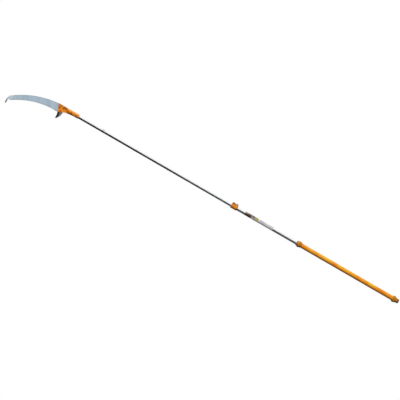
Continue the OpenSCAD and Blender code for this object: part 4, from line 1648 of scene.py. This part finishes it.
def orange_plastic() -> MouldedPlastic:
    """Makes the head's and the lever's finish, with painted shade along their teeth side, which
    climbs towards the spine where the socket meets the cheek.

    Returns:
        The finish.
    """
    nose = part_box("head_cheek")[1].x
    # painted shade towards the teeth's side, which climbs towards the spine near the cheek
    side_shade = SideShade(span=(2 * MM, 13 * MM), end=nose - 50 * MM,
                  climb=(nose - 127 * MM, nose - 66 * MM))
    # a darker band along the near cheek's spine side
    near_cheek = Darkening(low=(nose - 86 * MM, -13 * MM, 2 * MM),
                       high=(nose - 4 * MM, -2 * MM, 20 * MM), soft=2 * MM, share=0.42)
    # the plastic is paler on the spine's side, as a painted highlight
    return MouldedPlastic(Slot.ORANGE_PLASTIC, colour=rgb(248, 148, 22), shade=rgb(240, 137, 18),
                          scuff=rgb(250, 205, 150), side_shade=side_shade, darkening=rgb(70, 34, 8),
                          darkenings=(near_cheek,), painted_highlight=0.35)


def dark_orange_plastic() -> MouldedPlastic:
    """Makes the finish of the butt cap, the guard ring and the collar.

    Returns:
        The finish.
    """
    collar = [corner.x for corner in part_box("clamp_collar")]
    ring = [corner.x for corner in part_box("guard_ring")]
    # painted shade on the butt cap's nose end, which faces away from the key
    butt_nose_shade = Darkening.across(-40 * MM, 16 * MM, soft=14 * MM, share=0.75)
    # painted shade on the top of the butt cap's flange, on the spine's side
    flange_top_shade = Darkening.across(42 * MM, 56 * MM, soft=3 * MM, share=0.5, teeth=-21 * MM)
    collar_housing = Darkening.across(*collar, soft=3 * MM, share=0.5, spine=-80 * MM,
                                  teeth=-25 * MM)
    ring_end = Darkening.across(ring[1] - 12 * MM, ring[1], soft=4 * MM, share=0.4)
    # painted shade on the guard ring's rear corner, on the spine's side
    ring_corner_shade = Darkening.across(ring[0] - 10 * MM, ring[0] + 8 * MM, soft=3 * MM, share=0.5,
                               teeth=-18 * MM)
    # painted shade towards the teeth's side, and darker boxes of which some are painted shade
    return MouldedPlastic(Slot.DARK_ORANGE_PLASTIC, colour=rgb(214, 140, 30),
                          shade=rgb(198, 124, 24), scuff=rgb(240, 190, 130),
                          side_shade=SideShade(span=(-2 * MM, 20 * MM)), darkening=rgb(60, 54, 22),
                          darkenings=(butt_nose_shade, flange_top_shade, collar_housing, ring_end, ring_corner_shade))


def far_hole() -> Place:
    """Finds where the inner tube's outer lock hole opens, a slide's length past the lock pin.

    Returns:
        The middle of the hole, on the spine's side of the tube.
    """
    low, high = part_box("lock_pin")
    slide = next(joint for joint in frame["joints"] if joint["name"] == "pole_slide")
    travel = max(abs(limit) for limit in slide["range_m"])
    return (low.x + high.x) / 2 + travel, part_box("inner_tube")[0].y, (low.z + high.z) / 2


def sickle_front() -> Arc:
    """The arc of the sickle's black front edge, whose centre lies ahead of the sickle's box."""
    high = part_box("sickle")[1]
    return (high.x + 91.35 * MM, high.y - 17 * MM, 0.0), 102 * MM


def main() -> None:
    """Builds the sub-assemblies in order."""
    logging.basicConfig(level=logging.INFO, format="%(name)s: %(message)s")
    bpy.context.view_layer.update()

    orange, dark_orange = orange_plastic(), dark_orange_plastic()
    # the grip's redder, darker colour towards the teeth's side is painted shade
    rubber = GripRubber(Slot.ORANGE_GRIP, colour=rgb(250, 186, 38), shade=rgb(242, 143, 14),
                        pale=rgb(250, 190, 80), redder_shade=rgb(232, 118, 8), groove=rgb(120, 60, 10))
    tube = DrawnTube(Slot.TUBE_ALUMINIUM, colour=(0.93, 0.935, 0.94), shade=(0.84, 0.845, 0.85),
                     dark=rgb(96, 96, 98), hole=far_hole())
    label = LabelFilm(Slot.LABEL_FILM, bands=(
        (0.32, rgb(206, 206, 207)), (0.48, rgb(192, 188, 206)), (0.53, rgb(226, 218, 186)),
        (0.65, rgb(168, 164, 92)), (1.00, rgb(172, 154, 136)),
    ), pale=rgb(214, 208, 200), dark=rgb(62, 44, 34), rubbed_colour=rgb(215, 214, 210))
    nylon = MouldedNylon(Slot.BLACK_NYLON, colour=rgb(34, 34, 36), shine=rgb(58, 58, 60))
    dark = PlatedSteel(Slot.DARK_STEEL, colour=rgb(62, 60, 60), tint=rgb(84, 80, 76),
                       roughness=0.38, metallic=0.9)
    bright = PlatedSteel(Slot.ZINC_STEEL, colour=rgb(196, 198, 200), tint=rgb(206, 200, 176),
                         roughness=0.30, metallic=1.0)
    yellow = PlatedSteel(Slot.YELLOW_ZINC, colour=rgb(176, 120, 44), tint=rgb(150, 108, 60),
                         roughness=0.36, metallic=0.9)
    outline = BladeOutline.read()
    blade = BladeSteel(Slot.BLADE_STEEL, colour=rgb(168, 186, 198), shade=rgb(153, 171, 184),
                       facet=rgb(138, 145, 150), hook=rgb(114, 113, 114), pale=rgb(196, 204, 208),
                       teeth=outline.teeth_arc(), spine=outline.spine_arc())
    sickle = SickleSteel(Slot.SICKLE_STEEL, black=rgb(14, 14, 15), bare=rgb(118, 118, 121),
                         rear=rgb(112, 112, 115), scuff=rgb(170, 172, 176), front=sickle_front())

    OuterPole(tube, rubber, dark_orange, label, nylon, dark).build()
    ClampCollar(dark_orange, orange, nylon, dark, bright).build()
    Head(orange, nylon, tube, yellow, bright).build()
    SawBlade(blade, outline).build()
    Sickle(sickle).build()
    Studio().build()


if __name__ == "__main__":
    main()
